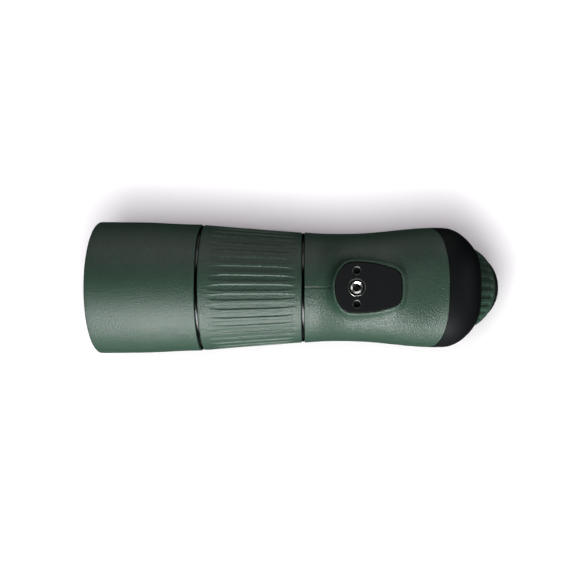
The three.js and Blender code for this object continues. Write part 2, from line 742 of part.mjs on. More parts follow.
piece(optical, "cradle_screw_1", cradleScrew.clone().translate(0, lugY, 0), steel());
piece(optical, "cradle_screw_2", cradleScrew.clone().translate(0, -lugY, 0), steel());

// ---------------------------------------------------------------- eyepiece

const flangeFront = 6.2;
const flangeRear = 8;
const eyeBore = EYE_BARREL_RADIUS - EYE_BARREL_WALL;
const eyeShelf = 36.8;
const eyeShelfRear = 38.2;
const eyeLensFront = 39.6;
const eyeLensRear = 42.6;
const eyeOpening = eyeBore - 1.6;
const eyeLensRadius = eyeBore - CLEARANCE;
const zoomPinSlot = ZOOM_PIN_RADIUS + CLEARANCE;
const eyecupPin = 30.4;
const eyecupPinRadius = 1;
const eyecupGroove = 1;
const clickRingFront = 26;
const clickRingRear = 27.8;
const clickToothHalf = 1.2;
const eyecupMargin = 8;
const risePerDegree = EYECUP_RISE / EYECUP_TURN;

// A straight slot for a lens group's pin, on the top or the bottom of the eyepiece barrel.
const pinSlot = (pin, travel, side) =>
  box(
    Math.min(pin, pin + travel) - zoomPinSlot,
    Math.max(pin, pin + travel) + zoomPinSlot,
    -zoomPinSlot,
    zoomPinSlot,
    side > 0 ? eyeBore - 2 : -EYE_BARREL_RADIUS - 2,
    side > 0 ? EYE_BARREL_RADIUS + 2 : -eyeBore + 2,
  );

const eyeBarrel = cut(
  turned([
    [flangeFront, eyeBore],
    [flangeFront, baseOuter],
    [flangeRear, baseOuter],
    [flangeRear, EYE_BARREL_RADIUS],
    [EYE_BARREL_END, EYE_BARREL_RADIUS],
    [EYE_BARREL_END, eyeBore],
    [eyeShelfRear, eyeBore],
    [eyeShelfRear, eyeOpening],
    [eyeShelf, eyeOpening],
    [eyeShelf, eyeBore],
  ]),
  pinSlot(ZOOM_FRONT_PIN, ZOOM_FRONT_TRAVEL, 1),
  pinSlot(ZOOM_REAR_PIN, ZOOM_REAR_TRAVEL, -1),
  helix(
    90 - eyecupMargin,
    90 + EYECUP_TURN + eyecupMargin,
    eyecupPin - eyecupMargin * risePerDegree,
    eyecupPin + (EYECUP_TURN + eyecupMargin) * risePerDegree,
    2 * (eyecupPinRadius + CLEARANCE) + 0.3,
    EYE_BARREL_RADIUS - eyecupGroove,
    EYE_BARREL_RADIUS + 2,
  ),
  // the straight groove that keeps the click ring from turning
  box(
    clickRingFront - CLEARANCE,
    clickRingRear + EYECUP_RISE + CLEARANCE,
    EYE_BARREL_RADIUS - eyecupGroove,
    EYE_BARREL_RADIUS + 2,
    -clickToothHalf - CLEARANCE,
    clickToothHalf + CLEARANCE,
  ),
  ...eyeScrewHoles(flangeFront - 1, flangeRear + 1),
);

const eyepieceBase = cut(
  ring(flangeRear + CLEARANCE, coverFloor - CLEARANCE, coverHole - 0.2, baseOuter, FACETS),
  ...eyeScrewHoles(flangeRear - 1, coverFloor + 1),
);
const eyeScrew = () =>
  join(
    disc(flangeFront - 1, 12.2, eyeScrewRadius, 12),
    disc(flangeFront - 1.8, flangeFront - CLEARANCE, eyeScrewRadius + 0.7, 12),
  ).translate(0, 0, eyeScrewCircle);

const zoomBore = EYE_BARREL_RADIUS + RUNNING;
const zoomGrooveEnd = 25; // behind this the ring opens up for the eyecup's sleeve
const zoomCoreFront = flangeRear + RUNNING;
const zoomCoreOuter = ZOOM_REAR_RADIUS - 2.3;
const zoomGripEnd = ZOOM_END;
const eyecupSleeveOuter = EYECUP_RADIUS - EYECUP_WALL;
const zoomRing = COLLAR + CLEARANCE;

// The groove of one lens group: a point of the ring passes the pin at minus the ring's turn.
const zoomGroove = (pin, travel, pinAngle) => {
  const margin = 6;
  const slope = travel / ZOOM_TURN;
  return helix(
    pinAngle + margin,
    pinAngle - ZOOM_TURN - margin,
    pin - margin * slope,
    pin + (ZOOM_TURN + margin) * slope,
    2 * zoomPinSlot + 0.3,
    zoomBore - 1,
    ZOOM_PIN_TIP + 0.5,
  );
};

const zoomCore = cut(
  turned([
    [zoomCoreFront, zoomBore],
    [zoomCoreFront, coverHole - 0.6],
    [zoomRing, coverHole - 0.6],
    [zoomRing, zoomCoreOuter],
    [zoomGripEnd - 0.9, zoomCoreOuter],
    [zoomGripEnd - 0.9, eyecupSleeveOuter + 0.8],
    [zoomGrooveEnd, eyecupSleeveOuter + 0.8],
    [zoomGrooveEnd, zoomBore],
  ]),
  zoomGroove(ZOOM_FRONT_PIN, ZOOM_FRONT_TRAVEL, 0),
  zoomGroove(ZOOM_REAR_PIN, ZOOM_REAR_TRAVEL, 180),
);

function zoomGrip() {
  const inner = zoomCoreOuter + CLEARANCE;
  const body = turned([
    [zoomRing, inner],
    [zoomRing, ZOOM_FRONT_RADIUS],
    [zoomGripEnd - 2.4, ZOOM_REAR_RADIUS],
    [zoomGripEnd - 0.6, ZOOM_REAR_RADIUS - 0.6],
    [zoomGripEnd, ZOOM_REAR_RADIUS - 1.6],
    [zoomGripEnd, EYECUP_RADIUS + RUNNING],
    [zoomGripEnd - 0.6, EYECUP_RADIUS + RUNNING],
    [zoomGripEnd - 0.6, inner],
  ], ZOOM_RIBS);
  const notches = [];
  for (let i = 0; i < ZOOM_RIBS; i++) {
    notches.push(
      box(zoomRing + 2.5, zoomGripEnd - 6, -0.7, 0.7, ZOOM_FRONT_RADIUS - 0.9, ZOOM_FRONT_RADIUS + 2)
        .rotateX(((i + 0.5) * 2 * Math.PI) / ZOOM_RIBS),
    );
  }
  return cut(body, ...notches);
}

// A lens group: a short cell with the pin in its middle.
const groupHalf = 2.5;
const groupRadius = eyeBore - RUNNING;
const groupLens = groupRadius - 3.8;
function lensGroup(name, pin, side, frontBulge, rearBulge) {
  const cell = cut(
    turned([
      [pin - groupHalf, groupLens + CLEARANCE],
      [pin - groupHalf, groupRadius],
      [pin + groupHalf, groupRadius],
      [pin + groupHalf, groupLens - 1],
      [pin + groupHalf - 0.7, groupLens - 1],
      [pin + groupHalf - 0.7, groupLens + CLEARANCE],
    ]),
    post(pin, 0, groupRadius - 2, groupRadius + 2, zoomPinSlot, 16).rotateX(side > 0 ? 0 : Math.PI),
  );
  const stub = post(pin, 0, groupRadius - 2 + CLEARANCE, ZOOM_PIN_TIP, ZOOM_PIN_RADIUS, 16);
  piece(eyepiece, `${name}_cell`, cell, darkMetal());
  piece(
    eyepiece,
    `${name}_lens`,
    lens(pin - groupHalf + 0.6, pin + groupHalf - 1, groupLens, frontBulge, rearBulge),
    glass(),
  );
  piece(eyepiece, `${name}_pin`, stub.rotateX(side > 0 ? 0 : Math.PI), steel());
}

const sleeveFront = clickRingRear + CLEARANCE;
const sleeveBore = EYE_BARREL_RADIUS + RUNNING;
const clickRing = join(
  ring(clickRingFront, clickRingRear, sleeveBore, eyecupSleeveOuter, FACETS),
  box(
    clickRingFront,
    clickRingRear,
    EYE_BARREL_RADIUS - eyecupGroove + CLEARANCE,
    sleeveBore + 1,
    -clickToothHalf,
    clickToothHalf,
  ),
);
const cupStart = zoomGripEnd + RUNNING;
const eyecupStub = post(
  eyecupPin,
  0,
  EYE_BARREL_RADIUS - eyecupGroove + 0.4,
  eyecupSleeveOuter - 0.4,
  eyecupPinRadius,
  16,
);
const eyecupTube = cut(
  turned([
    [sleeveFront, sleeveBore],
    [sleeveFront, eyecupSleeveOuter],
    [EYECUP_END - 2, eyecupSleeveOuter],
    [EYECUP_END - 2, sleeveBore],
  ]),
  post(eyecupPin, 0, EYE_BARREL_RADIUS - 3, EYECUP_RADIUS, eyecupPinRadius + 0.25, 16).rotateX(90 * DEG),
);
const eyecupRubber = turned([
  [cupStart, eyecupSleeveOuter + CLEARANCE],
  [cupStart, EYECUP_RADIUS - 0.4],
  [cupStart + 0.5, EYECUP_RADIUS],
  [EYECUP_END - 2.2, EYECUP_RADIUS],
  [EYECUP_END - 0.8, EYECUP_RADIUS - 0.6],
  [EYECUP_END, EYECUP_RADIUS - 2],
  [EYECUP_END - 0.3, eyeBore + 1.6],
  [EYECUP_END - 2 + CLEARANCE, eyeBore + 1.2],
  [EYECUP_END - 2 + CLEARANCE, eyecupSleeveOuter + CLEARANCE],
]);

piece(eyepiece, "eyepiece_barrel", eyeBarrel, darkMetal());
piece(eyepiece, "eyepiece_base", eyepieceBase, darkMetal());
aroundEye(eyeScrew).forEach((screw, i) => {
  piece(eyepiece, `eyepiece_screw_${i + 1}`, screw, steel());
});
piece(eyepiece, "zoom_core", zoomCore, darkMetal());
piece(eyepiece, "zoom_grip", zoomGrip(), greenRubber());
lensGroup("zoom_front", ZOOM_FRONT_PIN, 1, -0.4, -0.4);
lensGroup("zoom_rear", ZOOM_REAR_PIN, -1, 0.4, 0.5);
piece(eyepiece, "eye_lens", lens(eyeLensFront, eyeLensRear, eyeLensRadius, 1, 0.8), glass());
piece(
  eyepiece,
  "eye_lens_spacer",
  ring(eyeShelfRear + CLEARANCE, eyeLensFront - 0.5, eyeLensRadius - 1.4, eyeLensRadius),
  darkMetal(),
);
piece(
  eyepiece,
  "eye_lens_retainer",
  ring(eyeLensRear + CLEARANCE, EYE_BARREL_END - 0.2, eyeLensRadius - 1.6, eyeLensRadius),
  darkMetal(),
);
piece(eyepiece, "eyecup_click_ring", clickRing, steel());
piece(eyepiece, "eyecup_tube", eyecupTube, darkMetal());
piece(eyepiece, "eyecup_pin", eyecupStub.rotateX(90 * DEG), steel());
piece(eyepiece, "eyecup_rubber", eyecupRubber, blackRubber());

export default scope;
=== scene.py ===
"""Angled spotting scope with rubber armour, fluted focusing ring, tripod foot and zoom eyepiece."""

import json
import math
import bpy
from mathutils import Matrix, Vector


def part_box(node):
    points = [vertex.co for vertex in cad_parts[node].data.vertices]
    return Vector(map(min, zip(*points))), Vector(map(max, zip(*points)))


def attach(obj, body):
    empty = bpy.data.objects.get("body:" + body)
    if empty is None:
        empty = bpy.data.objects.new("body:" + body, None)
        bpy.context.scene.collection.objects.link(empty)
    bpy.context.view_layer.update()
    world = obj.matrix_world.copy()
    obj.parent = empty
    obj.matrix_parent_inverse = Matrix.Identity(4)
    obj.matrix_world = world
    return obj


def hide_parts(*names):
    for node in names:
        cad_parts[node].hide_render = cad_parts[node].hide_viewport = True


bl_info = {
    "name": "Angled Spotting Scope",
    "version": (1, 0, 0),
    "blender": (4, 5, 0),
    "location": "3D View > Sidebar > Scope",
    "description": "Builds the visible pieces, finishes and studio of an angled spotting scope",
    "category": "Add Mesh",
}

import bpy
import numpy as np
from mathutils import Matrix, Vector

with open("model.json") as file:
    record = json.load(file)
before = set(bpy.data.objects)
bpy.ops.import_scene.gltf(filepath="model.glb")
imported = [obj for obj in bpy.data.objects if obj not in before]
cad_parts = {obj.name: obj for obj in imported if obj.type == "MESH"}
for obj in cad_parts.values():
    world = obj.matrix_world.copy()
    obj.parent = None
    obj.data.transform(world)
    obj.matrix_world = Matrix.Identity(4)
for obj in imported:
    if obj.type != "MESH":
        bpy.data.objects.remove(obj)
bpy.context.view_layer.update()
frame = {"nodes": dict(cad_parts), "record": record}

MM = 0.001
NOISE_RANGE = {"From Min": 0.3, "From Max": 0.7}  # most of a noise lies in it
CLOUD = 9 * MM  # size of the faint patches in a moulded colour
HAZE = 12 * MM  # size of the faint patches on polished glass

# Where the optical axis and the eyepiece's axis lie, from the carried-over pieces.
AXIS_Z = sum(c.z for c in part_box("front_trim_ring")) / 2
EYE_X = 48 * MM
EYE_ANGLE = math.radians(45)
HOOD_LOW, HOOD_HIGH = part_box("front_armour")
GRIP_LOW, GRIP_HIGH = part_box("focus_grip")
ARMOUR_LOW, ARMOUR_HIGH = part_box("body_armour")
PAD_LOW, PAD_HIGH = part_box("foot_pad")


# ---- settings


class ScopeSizes(bpy.types.PropertyGroup):
    """Sizes of the visible pieces"""

    skin: bpy.props.FloatProperty(
        name="Armour thickness", description="Thickness of the rubber armour", default=2.2 * MM, unit="LENGTH"
    )
    flutes: bpy.props.IntProperty(name="Flutes", description="Scoops around the focusing ring", default=42)
    flute_depth: bpy.props.FloatProperty(
        name="Flute depth", description="Depth of a scoop at its middle", default=0.6 * MM, unit="LENGTH"
    )
    zoom_ribs: bpy.props.IntProperty(name="Zoom ribs", description="Ribs around the zoom ring", default=32)
    rib_depth: bpy.props.FloatProperty(
        name="Rib depth", description="Depth of the channels between the ribs", default=1.0 * MM, unit="LENGTH"
    )


class ScopeColours(bpy.types.PropertyGroup):
    """Colours of the finishes, as sRGB hex values"""

    armour: bpy.props.StringProperty(name="Armour", description="Green rubber armour", default="294034")
    rubber: bpy.props.StringProperty(name="Rubber", description="Black rubber", default="0F1112")
    polymer: bpy.props.StringProperty(name="Polymer", description="Rear cover", default="0D0F11")
    backdrop: bpy.props.StringProperty(name="Backdrop", description="Paper floor and backdrop", default="F4F4F4")


def sizes():
    return bpy.context.scene.scope_sizes


def colours():
    return bpy.context.scene.scope_colours


# ---- finishes


def linear(code):
    """An sRGB hex value as linear RGBA."""
    channels = [int(code[i : i + 2], 16) / 255 for i in (0, 2, 4)]
    return tuple(c / 12.92 if c <= 0.04045 else ((c + 0.055) / 1.055) ** 2.4 for c in channels) + (1.0,)


def add_node(tree, kind, inputs=(), **settings):
    """Adds a node. An input is a value, or a (node, output) pair to link from."""
    made = tree.nodes.new(kind)
    for key, value in settings.items():
        setattr(made, key, value)
    for key, value in dict(inputs).items():
        if isinstance(value, tuple) and isinstance(value[0], bpy.types.Node):
            tree.links.new(value[0].outputs[value[1]], made.inputs[key])
        else:
            made.inputs[key].default_value = value
    return made


def new_finish(name):
    """An empty node material and its tree."""
    material = bpy.data.materials.new(name)
    material.use_nodes = True
    material.node_tree.nodes.clear()
    return material, material.node_tree


def close_finish(material, tree, shader):
    """Links a shader to the material's output."""
    add_node(tree, "ShaderNodeOutputMaterial", {"Surface": (shader, "BSDF")})
    return material


def moulded(name, code, grain, depth, roughness, spread, mottle, specular=0.5):
    """A moulded rubber or plastic: a pebbled grain of a given size over a slightly uneven colour."""
    material, tree = new_finish(name)
    place = add_node(tree, "ShaderNodeTexCoord")
    pebble = add_node(
        tree,
        "ShaderNodeTexVoronoi",
        {"Vector": (place, "Object"), "Scale": 1 / grain, "Randomness": 1.0, "Smoothness": 0.2},
        feature="SMOOTH_F1",
    )
    dust = add_node(
        tree,
        "ShaderNodeTexNoise",
        {"Vector": (place, "Object"), "Scale": 2.6 / grain, "Detail": 2.0, "Roughness": 0.6},
    )
    cloud = add_node(
        tree,
        "ShaderNodeTexNoise",
        {"Vector": (place, "Object"), "Scale": 1 / CLOUD, "Detail": 3.0, "Roughness": 0.55},
    )
    relief = add_node(
        tree,
        "ShaderNodeMix",
        {"Factor": 0.45, "A": (pebble, "Distance"), "B": (dust, "Fac")},
        data_type="FLOAT",
    )
    shade = add_node(
        tree,
        "ShaderNodeMapRange",
        {**NOISE_RANGE, "Value": (cloud, "Fac"), "To Min": 1 - mottle, "To Max": 1 + mottle},
    )
    tint = add_node(
        tree,
        "ShaderNodeVectorMath",
        {0: linear(code)[:3], "Scale": (shade, "Result")},
        operation="SCALE",
    )
    gloss = add_node(
        tree,
        "ShaderNodeMapRange",
        {**NOISE_RANGE, "Value": (dust, "Fac"), "To Min": roughness - spread, "To Max": roughness + spread},
    )
    bump = add_node(
        tree, "ShaderNodeBump", {"Height": (relief, "Result"), "Strength": 1.0, "Distance": depth}
    )
    shader = add_node(
        tree,
        "ShaderNodeBsdfPrincipled",
        {
            "Base Color": (tint, "Vector"),
            "Roughness": (gloss, "Result"),
            "Normal": (bump, "Normal"),
            "Specular IOR Level": specular,
        },
    )
    return close_finish(material, tree, shader)


def machined(name, code, roughness, pitch, depth, stretch=(1.0, 1.0, 1.0)):
    """A turned or cast metal: fine marks of a given pitch, stretched along the cut."""
    material, tree = new_finish(name)
    place = add_node(tree, "ShaderNodeTexCoord")
    lay = add_node(tree, "ShaderNodeMapping", {"Vector": (place, "Object"), "Scale": stretch})
    marks = add_node(
        tree, "ShaderNodeTexNoise", {"Vector": (lay, "Vector"), "Scale": 1 / pitch, "Detail": 3.0, "Roughness": 0.6}
    )
    gloss = add_node(
        tree,
        "ShaderNodeMapRange",
        {**NOISE_RANGE, "Value": (marks, "Fac"), "To Min": roughness * 0.75, "To Max": roughness * 1.3},
    )
    bump = add_node(tree, "ShaderNodeBump", {"Height": (marks, "Fac"), "Strength": 1.0, "Distance": depth})
    shader = add_node(
        tree,
        "ShaderNodeBsdfPrincipled",
        {
            "Base Color": linear(code),
            "Metallic": 1.0,
            "Roughness": (gloss, "Result"),
            "Normal": (bump, "Normal"),
        },
    )
    return close_finish(material, tree, shader)


def optical_glass(name, film, tint):
    """Polished crown glass with an anti-reflection film, whose thickness gives the reflection its colour."""
    material, tree = new_finish(name)
    place = add_node(tree, "ShaderNodeTexCoord")
    haze = add_node(
        tree, "ShaderNodeTexNoise", {"Vector": (place, "Object"), "Scale": 1 / HAZE, "Detail": 2.0}
    )
    gloss = add_node(
        tree,
        "ShaderNodeMapRange",
        {"Value": (haze, "Fac"), "From Min": 0.35, "From Max": 0.75, "To Min": 0.0, "To Max": 0.02},
    )
    shader = add_node(
        tree,
        "ShaderNodeBsdfPrincipled",
        {
            "Base Color": linear(tint),
            "Roughness": (gloss, "Result"),
            "IOR": 1.52,
            "Transmission Weight": 1.0,
            "Thin Film Thickness": film,
            "Thin Film IOR": 1.75,
        },
    )
    return close_finish(material, tree, shader)


FINISHES = {}


def finish(name):
    """A finish by its name, made when it is first asked for."""
    if name not in FINISHES:
        FINISHES[name] = MAKERS[name]()
    return FINISHES[name]


MAKERS = {
    # Soft-touch rubber armour moulded against an etched tool: a leather-like pebble about 1 mm across.
    "grained_green_rubber": lambda: moulded(
        "grained_green_rubber", colours().armour, 1.0 * MM, 0.35 * MM, 0.41, 0.05, 0.06, specular=0.5
    ),
    # Smooth black rubber of the foot pad and the eyecup, with a faint sanded tooth.
    "smooth_black_rubber": lambda: moulded(
        "smooth_black_rubber", colours().rubber, 0.5 * MM, 0.02 * MM, 0.58, 0.04, 0.05, specular=0.13
    ),
    # The same rubber, glossier where the tool was polished and lighter in colour as a painted highlight: a bright rim
    # on each countersink.
    "glossy_black_rubber_painted_highlight": lambda: moulded(
        "glossy_black_rubber_painted_highlight", "222426", 0.5 * MM, 0.005 * MM, 0.34, 0.03, 0.05, specular=0.35
    ),
    # Glass-filled polymer of the rear cover: a tight spark-eroded satin.
    "satin_black_polymer": lambda: moulded(
        "satin_black_polymer", colours().polymer, 0.45 * MM, 0.02 * MM, 0.55, 0.04, 0.04, specular=0.1
    ),
    # Black anodised aluminium, diamond turned bright for the two rings in the grooves.
    "polished_black_anodising": lambda: machined(
        "polished_black_anodising", "343435", 0.2, 0.3 * MM, 0.001 * MM, stretch=(6.0, 1.0, 1.0)
    ),
    # Black anodised aluminium as turned, for cells, cores and barrels.
    "black_anodised_aluminium": lambda: machined(
        "black_anodised_aluminium", "2C2D2F", 0.42, 0.35 * MM, 0.006 * MM, stretch=(5.0, 1.0, 1.0)
    ),
    # Matt black paint on the inside of the tubes, which stops stray light.
    "matt_black_paint": lambda: moulded(
        "matt_black_paint", "101011", 0.35 * MM, 0.02 * MM, 0.85, 0.05, 0.05, specular=0.25
    ),
    # Die-cast magnesium with a fine blasted skin.
    "blasted_magnesium": lambda: machined("blasted_magnesium", "8A8C8D", 0.48, 0.4 * MM, 0.02 * MM),
    # Turned stainless steel, bright.
    "turned_stainless_steel": lambda: machined(
        "turned_stainless_steel", "CFCFCC", 0.32, 0.25 * MM, 0.003 * MM, stretch=(1.0, 1.0, 5.0)
    ),
    # Front lens and inner lenses: crown glass with a film that glints green.
    "crown_glass_green_film": lambda: optical_glass("crown_glass_green_film", 330.0, "F4FAF6"),
    # Eye lens: crown glass with a thinner film that glints violet.
    "crown_glass_violet_film": lambda: optical_glass("crown_glass_violet_film", 270.0, "F7F6FA"),
}

# The finish of each material slot, for the carried-over pieces inside.
SLOT_FINISHES = {
    "green_rubber": "grained_green_rubber",
    "black_rubber": "smooth_black_rubber",
    "black_polymer": "satin_black_polymer",
    "polished_black": "polished_black_anodising",
    "cast_metal": "blasted_magnesium",
    "dark_metal": "black_anodised_aluminium",
    "steel": "turned_stainless_steel",
    "glass": "crown_glass_green_film",
}
PAINTED = ("eyepiece_barrel", "lens_spacer", "rear_spacer", "main_barrel", "eye_lens_spacer")


# ---- modelling


def only(obj):
    """Selects one object and nothing else."""
    bpy.ops.object.select_all(action="DESELECT")
    obj.select_set(True)
    bpy.context.view_layer.objects.active = obj


def open_mesh(obj):
    """Opens a piece for editing with all of its mesh selected."""
    only(obj)
    bpy.ops.object.mode_set(mode="EDIT")
    bpy.ops.mesh.select_all(action="SELECT")


def close_mesh():
    """Leaves editing."""
    bpy.ops.object.mode_set(mode="OBJECT")


def settle(obj):
    """Applies a piece's place, turn and scale to its mesh."""
    only(obj)
    bpy.ops.object.transform_apply(location=True, rotation=True, scale=True)


def face_out(obj):
    """Turns every face of a closed piece outwards."""
    open_mesh(obj)
    bpy.ops.mesh.normals_make_consistent(inside=False)
    close_mesh()


def apply_modifier(obj, kind, **settings):
    """Adds a modifier and applies it."""
    only(obj)
    made = obj.modifiers.new(kind.title(), kind)
    for key, value in settings.items():
        setattr(made, key, value)
    bpy.ops.object.modifier_apply(modifier=made.name)


def round_edges(obj, radius, angle=35, segments=3):
    """Rounds every edge that is sharper than an angle."""
    apply_modifier(
        obj,
        "BEVEL",
        width=radius,
        segments=segments,
        limit_method="ANGLE",
        angle_limit=math.radians(angle),
        use_clamp_overlap=True,
        miter_outer="MITER_ARC",
    )


def close_up(obj, axis_point, axis_direction):
    """Merges doubles and turns the faces of a shell away from the axis it goes round."""
    open_mesh(obj)
    bpy.ops.mesh.remove_doubles(threshold=1e-6)
    bpy.ops.mesh.normals_make_consistent(inside=False)
    close_mesh()
    point, along = Vector(axis_point), Vector(axis_direction)
    outward = 0.0
    for face in obj.data.polygons:
        arm = face.center - point
        outward += face.normal.dot(arm - along * arm.dot(along)) * face.area
    if outward < 0:
        open_mesh(obj)
        bpy.ops.mesh.flip_normals()
        close_mesh()


def turned(name, section, facets=128, edge=0.0, edge_angle=35):
    """A piece turned about X from [x, radius] corners in mm: a ring is extruded and resized from corner to corner.
    A section that starts and ends on the axis is closed there, and any other is bridged to its start."""
    bpy.ops.object.select_all(action="DESELECT")
    points = [(x * MM, max(r, 0.0) * MM) for x, r in section]
    solid = points[0][1] == 0
    if solid:
        points = points[1:-1]
    x, r = points[0]
    bpy.ops.mesh.primitive_circle_add(
        vertices=facets,
        radius=r,
        fill_type="NGON" if solid else "NOTHING",
        location=(x, 0, 0),
        rotation=(0, math.pi / 2, 0),
    )
    obj = bpy.context.object
    obj.name = name
    settle(obj)
    open_mesh(obj)
    if solid:
        bpy.ops.mesh.poke()
        bpy.ops.mesh.select_all(action="DESELECT")
        bpy.ops.mesh.select_mode(type="EDGE")
        bpy.ops.mesh.select_non_manifold()
    for next_x, next_r in points[1:]:
        bpy.ops.mesh.extrude_region_move(TRANSFORM_OT_translate={"value": (next_x - x, 0, 0)})
        scale = next_r / r
        if abs(scale - 1) > 1e-9:
            bpy.ops.transform.resize(value=(1, scale, scale), center_override=(next_x, 0, 0))
        x, r = next_x, next_r
    if solid:
        bpy.ops.mesh.edge_face_add()
        bpy.ops.mesh.poke()
    else:
        bpy.ops.mesh.select_all(action="DESELECT")
        bpy.ops.mesh.select_mode(type="EDGE")
        bpy.ops.mesh.select_non_manifold()
        bpy.ops.mesh.bridge_edge_loops()
    bpy.ops.mesh.select_all(action="SELECT")
    bpy.ops.mesh.normals_make_consistent(inside=False)
    bpy.ops.mesh.select_mode(type="VERT")
    close_mesh()
    if edge:
        round_edges(obj, edge * MM, edge_angle)
    return obj


def points_of(obj):
    """A piece's vertices in metres, as rows of an array."""
    flat = np.zeros(len(obj.data.vertices) * 3)
    obj.data.vertices.foreach_get("co", flat)
    return flat.reshape(-1, 3)


def move_points(obj, points):
    """Puts a piece's vertices where the rows of an array say."""
    obj.data.vertices.foreach_set("co", points.astype(np.float32).ravel())
    obj.data.update()


def wrapped(name, columns, rows, place, axis_point, axis_direction):
    """A grid primitive wrapped round an axis: place gives the points of its (u, v) arrays, each from 0 to 1."""
    bpy.ops.object.select_all(action="DESELECT")
    bpy.ops.mesh.primitive_grid_add(x_subdivisions=columns, y_subdivisions=rows, size=2)
    obj = bpy.context.object
    obj.name = name
    flat = points_of(obj)
    move_points(obj, place((flat[:, 0] + 1) / 2, (flat[:, 1] + 1) / 2))
    close_up(obj, axis_point, axis_direction)
    return obj


def lined(skin, lining):
    """Joins a shell and its lining, and closes their two rims."""
    open_mesh(lining)
    bpy.ops.mesh.flip_normals()
    close_mesh()
    only(skin)
    lining.select_set(True)
    bpy.ops.object.join()
    for front in (True, False):
        bpy.ops.object.mode_set(mode="EDIT")
        bpy.ops.mesh.select_mode(type="EDGE")
        bpy.ops.mesh.select_all(action="DESELECT")
        bpy.ops.mesh.select_non_manifold()
        close_mesh()
        middle = (ARMOUR_LOW.x + ARMOUR_HIGH.x) / 2
        for edge in skin.data.edges:
            x = skin.data.vertices[edge.vertices[0]].co.x
            if edge.select and (x < middle) != front:
                edge.select = False
        bpy.ops.object.mode_set(mode="EDIT")
        bpy.ops.mesh.bridge_edge_loops()
        close_mesh()
    bpy.ops.object.mode_set(mode="EDIT")
    bpy.ops.mesh.select_mode(type="VERT")
    close_mesh()
    face_out(skin)


def sink(obj, depth, weights):
    """Sinks a piece's surface by a depth times a weight from 0 to 1 at each vertex."""
    group = obj.vertex_groups.new(name="sink")
    for index, weight in enumerate(weights):
        if weight > 0:
            group.add([index], float(weight), "REPLACE")
    apply_modifier(obj, "DISPLACE", strength=-depth, mid_level=0.0, direction="NORMAL", vertex_group="sink")
    obj.vertex_groups.clear()


def carve(obj, tool):
    """Cuts a piece by a tool and throws the tool away."""
    apply_modifier(obj, "BOOLEAN", object=tool, operation="DIFFERENCE", solver="EXACT")
    bpy.data.objects.remove(tool, do_unlink=True)


def cylinder(radius, low, high, x=0.0, y=0.0, facets=48):
    """An upright cylinder between two heights, in mm."""
    bpy.ops.object.select_all(action="DESELECT")
    bpy.ops.mesh.primitive_cylinder_add(
        vertices=facets, radius=radius * MM, depth=(high - low) * MM, location=(x * MM, y * MM, (low + high) / 2 * MM)
    )
    settle(bpy.context.object)
    return bpy.context.object


def set_down(obj, axis, y=0.0):
    """Moves a piece turned about X to the optical axis, the eyepiece's axis or an upright axis through the foot."""
    if axis == "eyepiece":
        obj.rotation_euler = (0, -EYE_ANGLE, 0)
        obj.location = (EYE_X, 0, AXIS_Z)
    elif axis == "upright":
        obj.rotation_euler = (0, -math.pi / 2, 0)
        obj.location = (0, y * MM, 0)
    else:
        obj.location = (0, 0, AXIS_Z)
    settle(obj)


def finished(obj, material, body, slot, *nodes, smooth=35, weighted=False):
    """Gives a piece its shading, finish, body and the CAD nodes it stands for."""
    only(obj)
    bpy.ops.object.shade_smooth_by_angle(angle=math.radians(smooth))
    if weighted:  # keeps a large flat face flat beside its rounded edges
        apply_modifier(obj, "WEIGHTED_NORMAL", keep_sharp=True)
    obj.data.materials.clear()
    obj.data.materials.append(finish(material))
    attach(obj, body)
    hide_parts(*nodes)
    return obj


def scoops(points, count, middle, half, share, taper, wall, fade):
    """How deep each point lies in a ring of long scoops about X, from 0 to 1. A scoop spans a share of its pitch,
    narrows by a taper towards its ends, and has steeper walls and ends the higher its two powers are."""
    pitch = 2 * math.pi / count
    angle = np.arctan2(points[:, 1], -points[:, 2])
    offset = np.abs((angle + pitch / 2) % pitch - pitch / 2)
    along = np.clip(np.abs((points[:, 0] - middle) / half), 0, 1)
    reach = share * pitch * (1 - taper * along**7) + 1e-6
    return np.clip(1 - (offset / reach) ** wall, 0, 1) * (1 - along**fade) ** 0.8


def arc(x, r, radius, start, end, steps=5):
    """Corner points of a round about (x, r) in mm, from one angle to another in degrees."""
    return [
        (
            x + radius * math.cos(math.radians(start + (end - start) * i / steps)),
            r + radius * math.sin(math.radians(start + (end - start) * i / steps)),
        )
        for i in range(steps + 1)
    ]


def between(x0, r0, x1, r1, steps):
    """Points on a straight line of a section, without its ends."""
    return [(x0 + (x1 - x0) * i / steps, r0 + (r1 - r0) * i / steps) for i in range(1, steps)]


# ---- shape of the rear body

# Stations along the optical axis and radii, in mm, as in the carried-over body.
WAIST, SHOULDER, TAIL = -2.0, 51.5, 28.0
WAIST_RADIUS, SHOULDER_RADIUS, SHOULDER_RISE = 33.8, 37.6, 31.5
FRONT_RADIUS = 34.9
TAIL_POWER = 2.7  # 2 is an ellipse, more is squarer
TAIL_SCALE = 33.0  # turns the tail's share of its own size into mm
SEAM_CROSSING, SEAM_TILT = 44.0, math.radians(16.2)  # plane between the armour and the rear cover
COLLAR = 14.0  # height of the cover's collar along the eyepiece's axis
COLLAR_HOLE = 22.7
HOOD_TAPER = -128.0  # the hood is straight up to here
HOOD_STEP = 1.6  # how much narrower its rear end is
HOOD_EDGE = 0.2  # how much narrower it is where the taper starts
HOOD_HOLE = 34.3  # radius of its front lip's opening
RING_SOCKET = 28.5  # inner radius of the trim rings
PAD_PROUD = 0.8  # the pad stands this far out of the armour
PAD_ROOM = 1 + 0.3 / 14.5  # its recess is 0.3 mm wider on each side
FOOT_RIM, FOOT_DRAFT, FOOT_LIP = 0.8, 0.12, 1.6  # rounding, slope and width of the armour round the pad
FOOT_BLEND = 4.5  # reach of the fillet between the foot and the body
